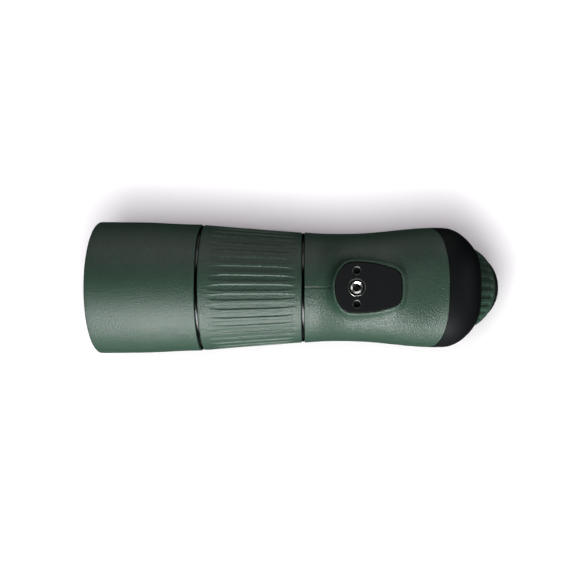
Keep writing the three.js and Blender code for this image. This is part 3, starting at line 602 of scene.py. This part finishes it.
MOULD_SEAM, MOULD_SEAM_WIDTH, MOULD_SEAM_END = 0.32, 0.42, -13.5  # depth, half width and rear end
PIN_OFFSET, PIN_RADIUS, PIN_DEPTH = 9.7, 1.95, 1.7  # the anti-twist holes beside the thread
PIN_LEAD = 0.6  # width of their countersinks
KEEL = 8.0  # how far the underside swells towards the foot, in mm
SQUARENESS = 0.6  # how much fuller than round the underside is at the foot
AXIS_MM = AXIS_Z / MM


def smoothstep(x, low, high):
    """0 below a range, 1 above it and a smooth rise between."""
    t = np.clip((x - low) / (high - low), 0, 1)
    return t * t * (3 - 2 * t)


def body_field(x, y, z):
    """Roughly the distance in mm outside the rear body's surface, with z from the optical axis."""
    start = ARMOUR_LOW.x / MM
    flare = (FRONT_RADIUS - WAIST_RADIUS) * (np.clip(WAIST - x, 0, None) / (WAIST - start)) ** 2
    blend = smoothstep(x, WAIST, SHOULDER)
    width = WAIST_RADIUS + flare + (SHOULDER_RADIUS - WAIST_RADIUS) * blend
    rise = WAIST_RADIUS + flare + (SHOULDER_RISE - WAIST_RADIUS) * blend
    keel = KEEL * smoothstep(x, -27, -4) * (1 - smoothstep(x, 18, SHOULDER))
    height = np.where(z > 0, rise, width + keel)
    power = 2 + np.where(z > 0, 0, SQUARENESS) * smoothstep(x, -24, 6)
    out = (np.abs(y / width) ** power + np.abs(z / height) ** power) ** (1 / power)
    back = np.clip((x - SHOULDER) / TAIL, 0, None)
    share = (back**TAIL_POWER + out**TAIL_POWER) ** (1 / TAIL_POWER)
    return (share - 1) * np.where(back > 0, TAIL_SCALE, width)


def foot_outline(samples=6):
    """The foot's outline in mm: a smooth curve through its points, round in front and narrower behind."""
    side = [(-12.5, 0), (-11.6, 6.0), (-9.2, 10.6), (-6.4, 13.2), (-3.0, 14.3), (3.0, 14.4), (10.0, 13.7)]
    side += [(17.2, 12.1), (22.0, 10.5), (24.6, 8.4), (25.8, 4.6), (26.0, 0)]
    points = np.array(side + [(px, -py) for px, py in side[-2:0:-1]])
    before, after, next_after = np.roll(points, 1, axis=0), np.roll(points, -1, axis=0), np.roll(points, -2, axis=0)
    curve = []
    for a, b, c, d in zip(before, points, after, next_after):
        for t in np.arange(samples) / samples:
            bend, twist = 2 * a - 5 * b + 4 * c - d, 3 * b - a - 3 * c + d
            curve.append(0.5 * (2 * b + (c - a) * t + bend * t**2 + twist * t**3))
    return np.array(curve)


def outline_distance(x, y):
    """Signed distance in mm to the foot's outline, negative inside it."""
    corners = foot_outline(3)
    best = np.full(x.shape, 1e9)
    inside = np.zeros(x.shape, bool)
    for (ax, ay), (bx, by) in zip(corners, np.roll(corners, -1, axis=0)):
        ex, ey = bx - ax, by - ay
        t = np.clip(((x - ax) * ex + (y - ay) * ey) / (ex * ex + ey * ey), 0, 1)
        best = np.minimum(best, np.hypot(x - ax - t * ex, y - ay - t * ey))
        crosses = (ay > y) != (by > y)
        slope = np.divide(ex, ey, out=np.zeros(1), where=np.array([ey != 0]))[0]
        inside ^= crosses & (x < ax + (y - ay) * slope)
    return np.where(inside, -best, best)


def foot_field(x, y, z):
    """Roughly the distance outside the foot under the armour, which widens upwards and has a rounded rim."""
    low = PAD_PROUD - AXIS_MM
    side = outline_distance(x, y) - FOOT_LIP - FOOT_DRAFT * np.clip(z - low, 0, 40) + FOOT_RIM
    under = low - z + FOOT_RIM
    outside = np.hypot(np.clip(side, 0, None), np.clip(under, 0, None))
    # the foot ends inside the body, 12 mm under the axis
    return np.maximum(outside + np.minimum(np.maximum(side, under), 0) - FOOT_RIM, z + 12)


def soft_least(a, b, reach):
    """The lesser of two fields, blended over a reach in mm."""
    t = np.clip(0.5 + 0.5 * (b - a) / reach, 0, 1)
    return b + (a - b) * t - reach * t * (1 - t)


def soft_most(a, b, reach):
    """The greater of two fields, blended over a reach in mm."""
    return -soft_least(-a, -b, reach)


def armour_field(x, y, z):
    """The armour's outside: body and foot in one skin, with the mould seam from the groove to the foot."""
    skin = soft_least(body_field(x, y, z), foot_field(x, y, z), FOOT_BLEND)
    seam = np.clip(1 - (y / MOULD_SEAM_WIDTH) ** 2, 0, 1) * (z < 0) * (x < MOULD_SEAM_END)
    return skin + MOULD_SEAM * seam


def cover_field(x, y, z):
    """The rear cover's outside: the rounded tail, eased to the collar under the eyepiece."""
    along = ((x - EYE_X / MM) + z) * math.cos(EYE_ANGLE)
    across = np.hypot(y, (z - (x - EYE_X / MM)) * math.cos(EYE_ANGLE))
    ease = 33 + 8 * np.clip(1 - along / COLLAR, 0, 3) ** 0.6
    tail = soft_most(body_field(x, y, z), across - ease, 2.0)
    return soft_most(tail, along - COLLAR + 0.05, 1.2)


def cast_out(field, origin, direction, reach):
    """How far along each direction from its origin the field's outermost surface lies, by halving."""
    near = np.zeros(len(direction))
    far = np.full(len(direction), reach)
    for _ in range(34):
        middle = (near + far) / 2
        p = origin + direction * middle[:, None]
        outside = field(p[:, 0], p[:, 1], p[:, 2]) > 0
        far = np.where(outside, middle, far)
        near = np.where(outside, near, middle)
    return (near + far) / 2


def cut_at_seam(obj, offset, keep_front):
    """Cuts a piece at the plane between the armour and the rear cover."""
    open_mesh(obj)
    bpy.ops.mesh.bisect(
        plane_co=((SEAM_CROSSING + offset) * MM, 0, AXIS_Z),
        plane_no=(math.cos(SEAM_TILT), 0, math.sin(SEAM_TILT)),
        clear_outer=keep_front,
        clear_inner=not keep_front,
        threshold=1e-7,
    )
    close_mesh()


# ---- pieces


class SCOPE_OT_hood(bpy.types.Operator):
    """Rubber armour of the objective hood"""

    bl_idname = "scope.hood"
    bl_label = "Hood armour"

    def execute(self, context):
        front, rear = HOOD_LOW.x / MM, HOOD_HIGH.x / MM
        radius = HOOD_HIGH.y / MM
        skin = sizes().skin / MM
        back = radius - HOOD_STEP
        outer = (
            arc(front + 0.4, HOOD_HOLE + 0.4, 0.4, 270, 180, 4)
            + arc(front + 1.1, radius - 1.1, 1.1, 180, 90, 6)
            + [
                (x, radius - HOOD_EDGE * smoothstep(x, front, HOOD_TAPER) - 1.4 * smoothstep(x, -135, rear))
                for x in np.linspace(front + 4, rear - 2, 14)
            ]
            + arc(rear - 0.6, back - 0.6, 0.6, 90, 0, 4)
        )
        inner = [(rear, back - skin), (HOOD_TAPER, radius - HOOD_EDGE - skin)]
        inner += [(front + 1.6, radius - skin), (front + 1.6, HOOD_HOLE)]
        hood = turned("hood_armour", outer + inner, 160)
        set_down(hood, "optical")
        finished(hood, "grained_green_rubber", "scope_body", "green_rubber", "front_armour")
        return {"FINISHED"}


class SCOPE_OT_trim_rings(bpy.types.Operator):
    """Two bright black rings at the bottom of the grooves"""

    bl_idname = "scope.trim_rings"
    bl_label = "Trim rings"

    def execute(self, context):
        for name in ("front_trim_ring", "rear_trim_ring"):
            low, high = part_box(name)
            # fills its groove up to a hair from the turning grip
            x0, x1, radius = low.x / MM - 0.22, high.x / MM + 0.22, high.y / MM + 0.8
            crown = [(x0 + (x1 - x0) * t, radius - 0.25 * (2 * t - 1) ** 2) for t in np.linspace(0, 1, 7)]
            ring = turned(name + "_bright", crown + [(x1, RING_SOCKET), (x0, RING_SOCKET)], 160)
            set_down(ring, "optical")
            finished(ring, "polished_black_anodising", "scope_body", "polished_black", name)
        return {"FINISHED"}


class SCOPE_OT_focus_grip(bpy.types.Operator):
    """Fluted rubber grip of the focusing ring"""

    bl_idname = "scope.focus_grip"
    bl_label = "Focusing grip"

    def execute(self, context):
        front, rear = GRIP_LOW.x / MM, GRIP_HIGH.x / MM
        wide, narrow = GRIP_HIGH.y / MM, FRONT_RADIUS
        skin = sizes().skin / MM
        outer = (
            arc(front + 0.6, wide - 0.6, 0.6, 180, 90, 4)
            + between(front + 0.6, wide, rear - 0.6, narrow, 56)
            + arc(rear - 0.6, narrow - 0.6, 0.6, 90, 0, 4)
        )
        section = [(front, wide - skin)] + outer + [(rear, narrow - skin)]
        grip = turned("focusing_grip", section, 22 * sizes().flutes)
        middle, half = (front + rear) / 2 + 1.2, (rear - front) / 2 - 4.6
        p = points_of(grip) / MM
        line = wide + (narrow - wide) * (p[:, 0] - front) / (rear - front)
        on_skin = np.hypot(p[:, 1], p[:, 2]) > line - 0.3
        sink(grip, sizes().flute_depth, on_skin * scoops(p, sizes().flutes, middle, half, 0.345, 0.75, 8, 5))
        set_down(grip, "optical")
        finished(grip, "grained_green_rubber", "focus_ring", "green_rubber", "focus_grip", smooth=60)
        return {"FINISHED"}


class SCOPE_OT_body_armour(bpy.types.Operator):
    """Rubber armour of the rear body and the foot, wrapped from a grid because one flows into the other"""

    bl_idname = "scope.body_armour"
    bl_label = "Body armour"

    def execute(self, context):
        start = ARMOUR_LOW.x / MM
        # stations close together along the foot, and angles close together under it and at the mould seam
        stations = np.concatenate(
            [np.linspace(start, -24, 7)[:-1], np.linspace(-24, 38, 125)[:-1], np.linspace(38, 60, 16)]
        )
        half_turn = [np.linspace(0, 1.6, 9)[:-1], np.linspace(1.6, 34, 55)[:-1], np.linspace(34, 180, 61)]
        half_turn = np.concatenate(half_turn)
        turn = np.radians(np.concatenate([-half_turn[::-1][:-1], half_turn]))
        columns, rows = len(turn) - 1, len(stations) - 1

        def placed(field, inset):
            def place(u, v):
                angle = turn[np.rint(u * columns).astype(int)]
                x = stations[np.rint(v * rows).astype(int)]
                direction = np.stack([np.zeros_like(x), np.sin(angle), -np.cos(angle)], axis=1)
                origin = np.stack([x, np.zeros_like(x), np.zeros_like(x)], axis=1)
                far = cast_out(field, origin, direction, 60.0) - inset
                p = origin + direction * far[:, None]
                p[:, 2] += AXIS_MM
                return p * MM

            return place

        axis = ((0, 0, AXIS_Z), (1, 0, 0))
        armour = wrapped("body_armour_skin", columns, rows, placed(armour_field, 0.0), *axis)
        lining = wrapped("body_armour_lining", columns, rows, placed(body_field, sizes().skin / MM), *axis)
        for half in (armour, lining):
            cut_at_seam(half, 0.0, True)
        lined(armour, lining)
        outline = foot_outline() * PAD_ROOM
        carve(armour, plate("pad_recess", outline, -3.0, 14.0))
        round_edges(armour, 0.35 * MM, 60, 3)
        finished(armour, "grained_green_rubber", "scope_body", "green_rubber", "body_armour", smooth=50)
        return {"FINISHED"}


def plate(name, outline, low, high):
    """A flat plate with an outline in mm: a circle drawn out to the outline, filled and extruded upwards."""
    bpy.ops.object.select_all(action="DESELECT")
    bpy.ops.mesh.primitive_circle_add(vertices=len(outline), radius=0.01, fill_type="NGON")
    obj = bpy.context.object
    obj.name = name
    move_points(obj, np.column_stack([outline, np.full(len(outline), low)]) * MM)
    open_mesh(obj)
    bpy.ops.mesh.extrude_region_move(TRANSFORM_OT_translate={"value": (0, 0, (high - low) * MM)})
    close_mesh()
    face_out(obj)
    return obj


def countersink(radius, lead, depth):
    """The cutter of a blind bore with a countersunk mouth, along X with its mouth at 0, in mm."""
    section = [(-1, 0), (-1, radius + lead), (0.02, radius + lead)]
    section += [(0.02 + 0.55 * lead, radius), (depth, radius), (depth, 0)]
    return turned("bore_cutter", section, 40)


class SCOPE_OT_foot(bpy.types.Operator):
    """Rubber pad of the tripod foot and its threaded insert"""

    bl_idname = "scope.foot"
    bl_label = "Tripod foot"

    def execute(self, context):
        thick = PAD_HIGH.z / MM
        pad = plate("foot_pad_rubber", foot_outline(), 0.0, thick)
        carve(pad, cylinder(5.25, -1, 5, facets=64))
        round_edges(pad, 0.25 * MM, 40, 3)
        for side in (1, -1):
            bore = countersink(PIN_RADIUS, PIN_LEAD, PIN_DEPTH)
            set_down(bore, "upright", PIN_OFFSET * side)
            carve(pad, bore)
        finished(pad, "smooth_black_rubber", "scope_body", "black_rubber", "foot_pad", weighted=True)
        # the countersinks get the glossier rubber, whose lighter colour is a painted highlight
        pad.data.materials.append(finish("glossy_black_rubber_painted_highlight"))
        for face in pad.data.polygons:  # the countersinks come out of the mould smooth
            spot = face.center / MM
            reach = math.hypot(spot.x, abs(spot.y) - PIN_OFFSET)
            if 0.02 < reach - PIN_RADIUS < PIN_LEAD + 0.13 and spot.z < 0.9 and abs(face.normal.z) < 0.95:
                face.material_index = 1

        # The insert: a blackened face, a bright chamfer and the thread's crests and roots down the hole.
        deep, minor, major, pitch = 8.6, 2.4, 3.05, 1.27
        wall = [(0.6, 5.1), (0.22, 5.1), (0.1, 4.95), (0.1, 4.7), (0.4, 4.5), (0.4, 3.6), (0.25, 3.45), (1.0, minor)]
        depth = 1.0
        while depth + pitch < deep - 0.6:
            wall += [(depth + 0.55 * pitch, major), (depth + 0.6 * pitch, major), (depth + pitch, minor)]
            depth += pitch
        wall += [(deep, minor), (deep, 0)]
        section = [(9.5, 0), (9.5, 5.0), (0.6, 5.0)] + wall
        insert = turned("thread_insert_steel", section, 72)
        set_down(insert, "upright")
        finished(insert, "turned_stainless_steel", "scope_body", "steel", "thread_insert", smooth=25)
        insert.data.materials.append(finish("black_anodised_aluminium"))
        for face in insert.data.polygons:
            spot = face.center / MM
            if spot.z < 1 and 3.5 < math.hypot(spot.x, spot.y) < 4.6:
                face.material_index = 1
        return {"FINISHED"}


class SCOPE_OT_rear_cover(bpy.types.Operator):
    """Black cover behind the armour, with the collar that the eyepiece stands on"""

    bl_idname = "scope.rear_cover"
    bl_label = "Rear cover"

    def execute(self, context):
        # directions from the crossing of the two axes, swung from the eyepiece's axis
        start = math.atan2(COLLAR_HOLE, COLLAR)
        turn, end = math.radians(75), math.radians(160)
        swing = np.concatenate([np.linspace(start, turn, 30)[:-1], np.linspace(turn, end, 90)])
        rows, columns = len(swing) - 1, 240
        cos, sin = math.cos(EYE_ANGLE), math.sin(EYE_ANGLE)

        def place(u, v):
            theta = swing[np.rint(v * rows).astype(int)]
            phi = u * 2 * math.pi
            a, b, c = np.cos(theta), np.sin(theta) * np.sin(phi), np.sin(theta) * np.cos(phi)
            direction = np.stack([a * cos - c * sin, b, a * sin + c * cos], axis=1)
            origin = np.tile([EYE_X / MM, 0.0, 0.0], (len(u), 1))
            far = cast_out(cover_field, origin, direction, 90.0)
            p = origin + direction * far[:, None]
            p[:, 2] += AXIS_MM
            return p * MM

        cover = wrapped("rear_cover_shell", columns, rows, place, (EYE_X, 0, AXIS_Z), (cos, 0, sin))
        cut_at_seam(cover, 0.35, False)
        apply_modifier(cover, "SOLIDIFY", thickness=2.6 * MM, offset=-1.0, use_even_offset=False)
        round_edges(cover, 0.4 * MM, 60, 3)
        finished(cover, "satin_black_polymer", "scope_body", "black_polymer", "rear_cover", smooth=50)
        return {"FINISHED"}


class SCOPE_OT_zoom_grip(bpy.types.Operator):
    """Ribbed rubber grip of the zoom ring"""

    bl_idname = "scope.zoom_grip"
    bl_label = "Zoom grip"

    def execute(self, context):
        # ends along the eyepiece's axis, and radii at both ends
        front, rear, wide, narrow = 14.3, 35.5, 28.5, 28.0
        outer = (
            arc(front + 0.5, wide - 0.5, 0.5, 180, 90, 4)
            + between(front + 0.5, wide, rear - 2.2, narrow, 30)
            + arc(rear - 1.7, narrow - 1.7, 1.7, 90, 0, 7)
        )
        section = [(front, 26.0)] + outer + [(rear, 23.6), (rear - 0.6, 23.6), (rear - 0.6, 26.0)]
        grip = turned("zoom_grip_rubber", section, 20 * sizes().zoom_ribs)
        p = points_of(grip) / MM
        on_skin = np.hypot(p[:, 1], p[:, 2]) > narrow - 0.4
        middle, half = (front + rear) / 2 - 1.0, 8.2
        sink(grip, sizes().rib_depth, on_skin * scoops(p, sizes().zoom_ribs, middle, half, 0.31, 0.7, 5, 6))
        set_down(grip, "eyepiece")
        finished(grip, "grained_green_rubber", "zoom_ring", "green_rubber", "zoom_grip", smooth=60)
        return {"FINISHED"}


class SCOPE_OT_eyecup(bpy.types.Operator):
    """Rubber eyecup"""

    bl_idname = "scope.eyecup"
    bl_label = "Eyecup"

    def execute(self, context):
        start, end, radius = 35.9, 47.3, 23.2  # along the eyepiece's axis
        section = (
            [(start, 20.5)]
            + arc(start + 0.5, radius - 0.5, 0.5, 180, 90, 4)
            + [(start + 3.4, radius), (start + 3.7, radius - 0.35)]  # a fine groove round the cup
            + [(start + 4.3, radius - 0.35), (start + 4.6, radius)]
            + [(end - 2.6, radius)]
            + arc(end - 2.4, radius - 2.4, 2.4, 90, 10, 8)
            + [(end - 0.1, 19.6), (end - 0.5, 18.2), (end - 1.1, 16.9), (end - 1.7, 16.4), (end - 1.7, 20.5)]
        )
        cup = turned("eyecup_rubber_fold", section, 144)
        set_down(cup, "eyepiece")
        finished(cup, "smooth_black_rubber", "eyecup", "black_rubber", "eyecup_rubber", smooth=40)
        tube = turned("eyecup_tube_turned", [(28.1, 17.4), (28.1, 20.2), (45.3, 20.2), (45.3, 17.4)], 96, edge=0.3)
        set_down(tube, "eyepiece")
        finished(tube, "black_anodised_aluminium", "eyecup", "dark_metal", "eyecup_tube")
        return {"FINISHED"}


class SCOPE_OT_objective(bpy.types.Operator):
    """Front tube with its baffled sunshade, cell, retaining ring and front lens"""

    bl_idname = "scope.objective"
    bl_label = "Objective"

    def execute(self, context):
        low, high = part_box("front_tube")
        x0, x1, outer = low.x / MM, high.x / MM, high.y / MM
        baffles = []
        for i in range(9):  # stepped rings that stop stray light
            step = x0 + 2.2 + i * 1.3
            baffles += [(step, 33.5), (step + 0.15, 34.0), (step + 0.75, 34.0), (step + 0.9, 33.5)]
        tube = turned(
            "front_tube_painted",
            [(x0, 33.5), (x0, outer), (HOOD_TAPER, outer - HOOD_EDGE), (x1, outer - HOOD_STEP), (x1, 26.8)]
            + [(x1 - 6, 26.8), (x1 - 6, 31.3), (-111, 31.3), (-111, 31.8), (-143, 31.8), (-143, 33.5)]
            + baffles[::-1],
            112,
        )
        set_down(tube, "optical")
        finished(tube, "matt_black_paint", "scope_body", "cast_metal", "front_tube", smooth=25)

        cell = turned(
            "objective_cell_turned",
            [(-143, 28.8), (-143, 31.5), (-131, 31.5), (-131, 30.1), (-129, 30.1), (-129, 31.5), (-112, 31.5)]
            + [(-112, 26.5), (-114, 26.5), (-114, 28.8)],
            112,
            edge=0.15,
        )
        set_down(cell, "optical")
        finished(cell, "black_anodised_aluminium", "scope_body", "dark_metal", "objective_cell")

        low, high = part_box("objective_retainer")
        x0, x1 = low.x / MM, high.x / MM
        retainer = turned("objective_retainer_ring", [(x0, 27.4), (x0, 28.5), (x1, 28.5), (x1, 26.5)], 112, edge=0.15)
        notch = cylinder(0.8, -40, 40, x=x0, facets=24)  # the two spanner slots
        carve(retainer, notch)
        set_down(retainer, "optical")
        finished(retainer, "black_anodised_aluminium", "scope_body", "dark_metal", "objective_retainer")

        low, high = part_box("objective_lens_front")
        x0, x1, radius = low.x / MM, high.x / MM, high.y / MM
        dome = [(x0 + 3 * (r / radius) ** 2, r) for r in np.linspace(0, radius, 13)]
        lens = turned("objective_lens_coated", dome + [(x1, radius), (x1, 0)], 96)
        set_down(lens, "optical")
        finished(lens, "crown_glass_green_film", "scope_body", "glass", "objective_lens_front")
        return {"FINISHED"}


class SCOPE_OT_eyepiece(bpy.types.Operator):
    """Eye lens and its retaining ring"""

    bl_idname = "scope.eyepiece"
    bl_label = "Eye lens"

    def execute(self, context):
        ring = turned(
            "eye_lens_ring", [(42.9, 13.3), (42.9, 14.9), (45.1, 14.9), (45.1, 14.4), (43.8, 13.3)], 96, edge=0.12
        )
        set_down(ring, "eyepiece")
        finished(ring, "black_anodised_aluminium", "scope_body", "dark_metal", "eye_lens_retainer")
        radius = 14.9
        front = [(39.6 - 1.0 * (1 - (r / radius) ** 2), r) for r in np.linspace(0, radius, 9)]
        back = [(42.6 + 0.8 * (1 - (r / radius) ** 2), r) for r in np.linspace(radius, 0, 9)]
        lens = turned("eye_lens_coated", front + back, 80)
        set_down(lens, "eyepiece")
        finished(lens, "crown_glass_violet_film", "scope_body", "glass", "eye_lens")
        return {"FINISHED"}


class SCOPE_OT_finishes(bpy.types.Operator):
    """Finishes of the carried-over inner pieces"""

    bl_idname = "scope.finishes"
    bl_label = "Inner finishes"

    def execute(self, context):
        slots = {row["node"]: row["material_slot"] for row in frame["record"]["subparts"]}
        for node, obj in frame["nodes"].items():
            name = SLOT_FINISHES[slots[node]]
            if node in PAINTED:
                name = "matt_black_paint"
            if obj.material_slots:
                for held in obj.material_slots:
                    held.material = finish(name)
            else:
                obj.data.materials.append(finish(name))
        return {"FINISHED"}


# ---- studio


def paper(name, centre, half, turned_down=False):
    """A sheet of studio paper, part of the stage."""
    bpy.ops.object.select_all(action="DESELECT")
    bpy.ops.mesh.primitive_plane_add(size=2 * half, location=centre, rotation=(math.pi if turned_down else 0, 0, 0))
    obj = bpy.context.object
    obj.name = name
    settle(obj)
    return obj


def softbox(name, place, aim, width, length, power, colour=(1, 1, 1)):
    """A rectangular studio light that points at a spot."""
    bpy.ops.object.light_add(type="AREA", location=place)
    obj = bpy.context.object
    obj.name = name
    obj.data.shape = "RECTANGLE"
    obj.data.size, obj.data.size_y = length, width
    obj.data.energy = power
    obj.data.color = colour
    back = (Vector(place) - Vector(aim)).normalized()
    # the long side lies along X
    side = Vector((1, 0, 0))
    side = (side - back * side.dot(back)).normalized()
    up = back.cross(side)
    obj.rotation_mode = "QUATERNION"
    obj.rotation_quaternion = Matrix((side, up, back)).transposed().to_quaternion()
    obj.visible_camera = False
    return obj


FLOOR_Z, FLOOR_HALF = -0.75, 40.0  # far enough out that its edge is never seen
BACKDROP_Z, BACKDROP_HALF = 0.42, 0.42
BACKDROP_GLOW, SHADOW_DEPTH = 1.03, 0.08  # its own light where no lamp reaches it, and straight behind the object
CAMERA_EYE = Vector((-28.1, 0, -436.15)) * MM
CAMERA_TILT = math.radians(0.163)
CAMERA_LENS, CAMERA_SENSOR, CAMERA_SHIFT = 47.39, 36, -0.032

# Name, place, width and length in metres, power in watts.
OBJECT_LIGHTS = (
    ("key_softbox", (-0.26, 0.65, -0.38), 0.42, 0.27, 7.8),
    ("rear_key_softbox", (0.13, 0.69, -0.3), 0.46, 0.2, 7.2),
    ("fill_softbox", (-0.08, -0.66, -0.36), 0.44, 0.9, 2.0),
    ("top_softbox", (-0.04, -0.1, 0.95), 0.6, 0.9, 12),
    ("side_softbox", (-0.04, -0.95, 0.1), 0.5, 1.2, 0.9),
    ("other_side_softbox", (-0.04, 0.95, 0.55), 0.5, 1.2, 0.4),
    ("rear_softbox", (0.72, -0.05, -0.3), 0.4, 0.5, 1.2),
)
# Name, offset from the camera's place, size, power and colour.
BACKDROP_LIGHTS = (
    ("shadow_light", (-0.014, 0.036, 0), 0.07, 6.8, (1.0, 1.0, 1.0)),
    ("halo_light", (-0.012, -0.024, 0), 0.06, 2.2, (1.0, 0.93, 1.0)),
)


class SCOPE_OT_stage(bpy.types.Operator):
    """Floor, backdrop, soft studio lights and camera"""

    bl_idname = "scope.stage"
    bl_label = "Studio"

    def execute(self, context):
        scene = context.scene
        scene.view_settings.view_transform = "Standard"
        eye = CAMERA_EYE
        middle = (-0.04, 0, AXIS_Z)

        floor = paper("studio_floor", (0, 0, FLOOR_Z), FLOOR_HALF)
        material, tree = new_finish("floor_paper")
        shader = add_node(
            tree,
            "ShaderNodeBsdfPrincipled",
            {
                "Base Color": linear(colours().backdrop),
                "Roughness": 0.9,
                "Emission Color": (1, 1, 1, 1),
                "Emission Strength": 0.72,
            },
        )
        floor.data.materials.append(close_finish(material, tree, shader))

        # The sheet behind the object glows more towards its corners, as much as the shadow lights fall off there.
        backdrop = paper("studio_backdrop", (eye.x, 0, BACKDROP_Z), BACKDROP_HALF, turned_down=True)
        material, tree = new_finish("backdrop_paper")
        place = add_node(tree, "ShaderNodeTexCoord")
        spot = add_node(
            tree,
            "ShaderNodeVectorMath",
            {0: (place, "Object"), 1: (eye.x, 0, BACKDROP_Z)},
            operation="DISTANCE",
        )
        square = add_node(tree, "ShaderNodeMath", {0: (spot, "Value"), 1: 2.0}, operation="POWER")
        height = (BACKDROP_Z - eye.z) ** 2
        spread = add_node(tree, "ShaderNodeMath", {0: (square, "Value"), 1: height}, operation="ADD")
        share = add_node(tree, "ShaderNodeMath", {0: height, 1: (spread, "Value")}, operation="DIVIDE")
        fall = add_node(tree, "ShaderNodeMath", {0: (share, "Value"), 1: 2.0}, operation="POWER")
        glow = add_node(
            tree,
            "ShaderNodeMapRange",
            {"Value": (fall, "Value"), "To Min": BACKDROP_GLOW, "To Max": SHADOW_DEPTH},
        )
        shader = add_node(
            tree,
            "ShaderNodeBsdfPrincipled",
            {
                "Base Color": linear(colours().backdrop),
                "Roughness": 1.0,
                "Specular IOR Level": 0.0,
                "Emission Color": (1.0, 0.965, 1.0, 1),
                "Emission Strength": (glow, "Result"),
            },
        )
        backdrop.data.materials.append(close_finish(material, tree, shader))
        for sheet in (floor, backdrop):
            sheet.visible_diffuse = False
            sheet.visible_glossy = False
            sheet.visible_transmission = False
            sheet.visible_shadow = False

        world = bpy.data.worlds.new("studio_air")
        scene.world = world
        world.use_nodes = True
        background = world.node_tree.nodes["Background"]
        background.inputs["Color"].default_value = (1, 1, 1, 1)
        background.inputs["Strength"].default_value = 0.93
        world.cycles_visibility.diffuse = False
        world.cycles_visibility.glossy = False

        object_only = bpy.data.collections.new("backdrop_left_out")
        object_only.objects.link(backdrop)
        object_only.collection_objects[0].light_linking.link_state = "EXCLUDE"
        backdrop_only = bpy.data.collections.new("backdrop_alone")
        backdrop_only.objects.link(backdrop)
        for name, spot, width, length, power in OBJECT_LIGHTS:
            light = softbox(name, spot, middle, width, length, power)
            light.light_linking.receiver_collection = object_only
            light.visible_glossy = name != "top_softbox"  # soft light from above, without a glare on the rims
        for name, offset, size, power, colour in BACKDROP_LIGHTS:
            light = softbox(name, eye + Vector(offset), (eye.x, 0, BACKDROP_Z), size, size, power, colour)
            light.light_linking.receiver_collection = backdrop_only

        bpy.ops.object.camera_add(location=eye)
        camera = context.object
        camera.name = "studio_camera"
        camera.rotation_mode = "QUATERNION"
        right = Vector((math.cos(CAMERA_TILT), 0, math.sin(CAMERA_TILT)))
        up = Vector((0, -1, 0))
        camera.rotation_quaternion = Matrix((right, up, right.cross(up))).transposed().to_quaternion()
        camera.data.lens = CAMERA_LENS
        camera.data.sensor_width = CAMERA_SENSOR
        camera.data.shift_x = CAMERA_SHIFT
        camera.data.clip_start = 0.01
        scene.camera = camera
        return {"FINISHED"}


# ---- add-on

OPERATORS = (
    SCOPE_OT_hood,
    SCOPE_OT_trim_rings,
    SCOPE_OT_focus_grip,
    SCOPE_OT_body_armour,
    SCOPE_OT_foot,
    SCOPE_OT_rear_cover,
    SCOPE_OT_zoom_grip,
    SCOPE_OT_eyecup,
    SCOPE_OT_objective,
    SCOPE_OT_eyepiece,
    SCOPE_OT_finishes,
    SCOPE_OT_stage,
)


class SCOPE_PT_pieces(bpy.types.Panel):
    """Lists the pieces of the scope"""

    bl_idname = "SCOPE_PT_pieces"
    bl_label = "Spotting scope"
    bl_space_type = "VIEW_3D"
    bl_region_type = "UI"
    bl_category = "Scope"

    def draw(self, context):
        for group in (context.scene.scope_sizes, context.scene.scope_colours):
            box = self.layout.box()
            for key in group.bl_rna.properties.keys():
                if key not in ("rna_type", "name"):
                    box.prop(group, key)
        for kind in OPERATORS:
            self.layout.operator(kind.bl_idname)


CLASSES = (ScopeSizes, ScopeColours, *OPERATORS, SCOPE_PT_pieces)


def register():
    for kind in CLASSES:
        bpy.utils.register_class(kind)
    bpy.types.Scene.scope_sizes = bpy.props.PointerProperty(type=ScopeSizes)
    bpy.types.Scene.scope_colours = bpy.props.PointerProperty(type=ScopeColours)


def unregister():
    del bpy.types.Scene.scope_colours
    del bpy.types.Scene.scope_sizes
    for kind in reversed(CLASSES):
        bpy.utils.unregister_class(kind)


def main():
    register()
    for kind in OPERATORS:
        group, name = kind.bl_idname.split(".")
        if getattr(getattr(bpy.ops, group), name)() != {"FINISHED"}:
            raise RuntimeError(f"{kind.bl_label} was not made")


if __name__ == "__main__":
    main()
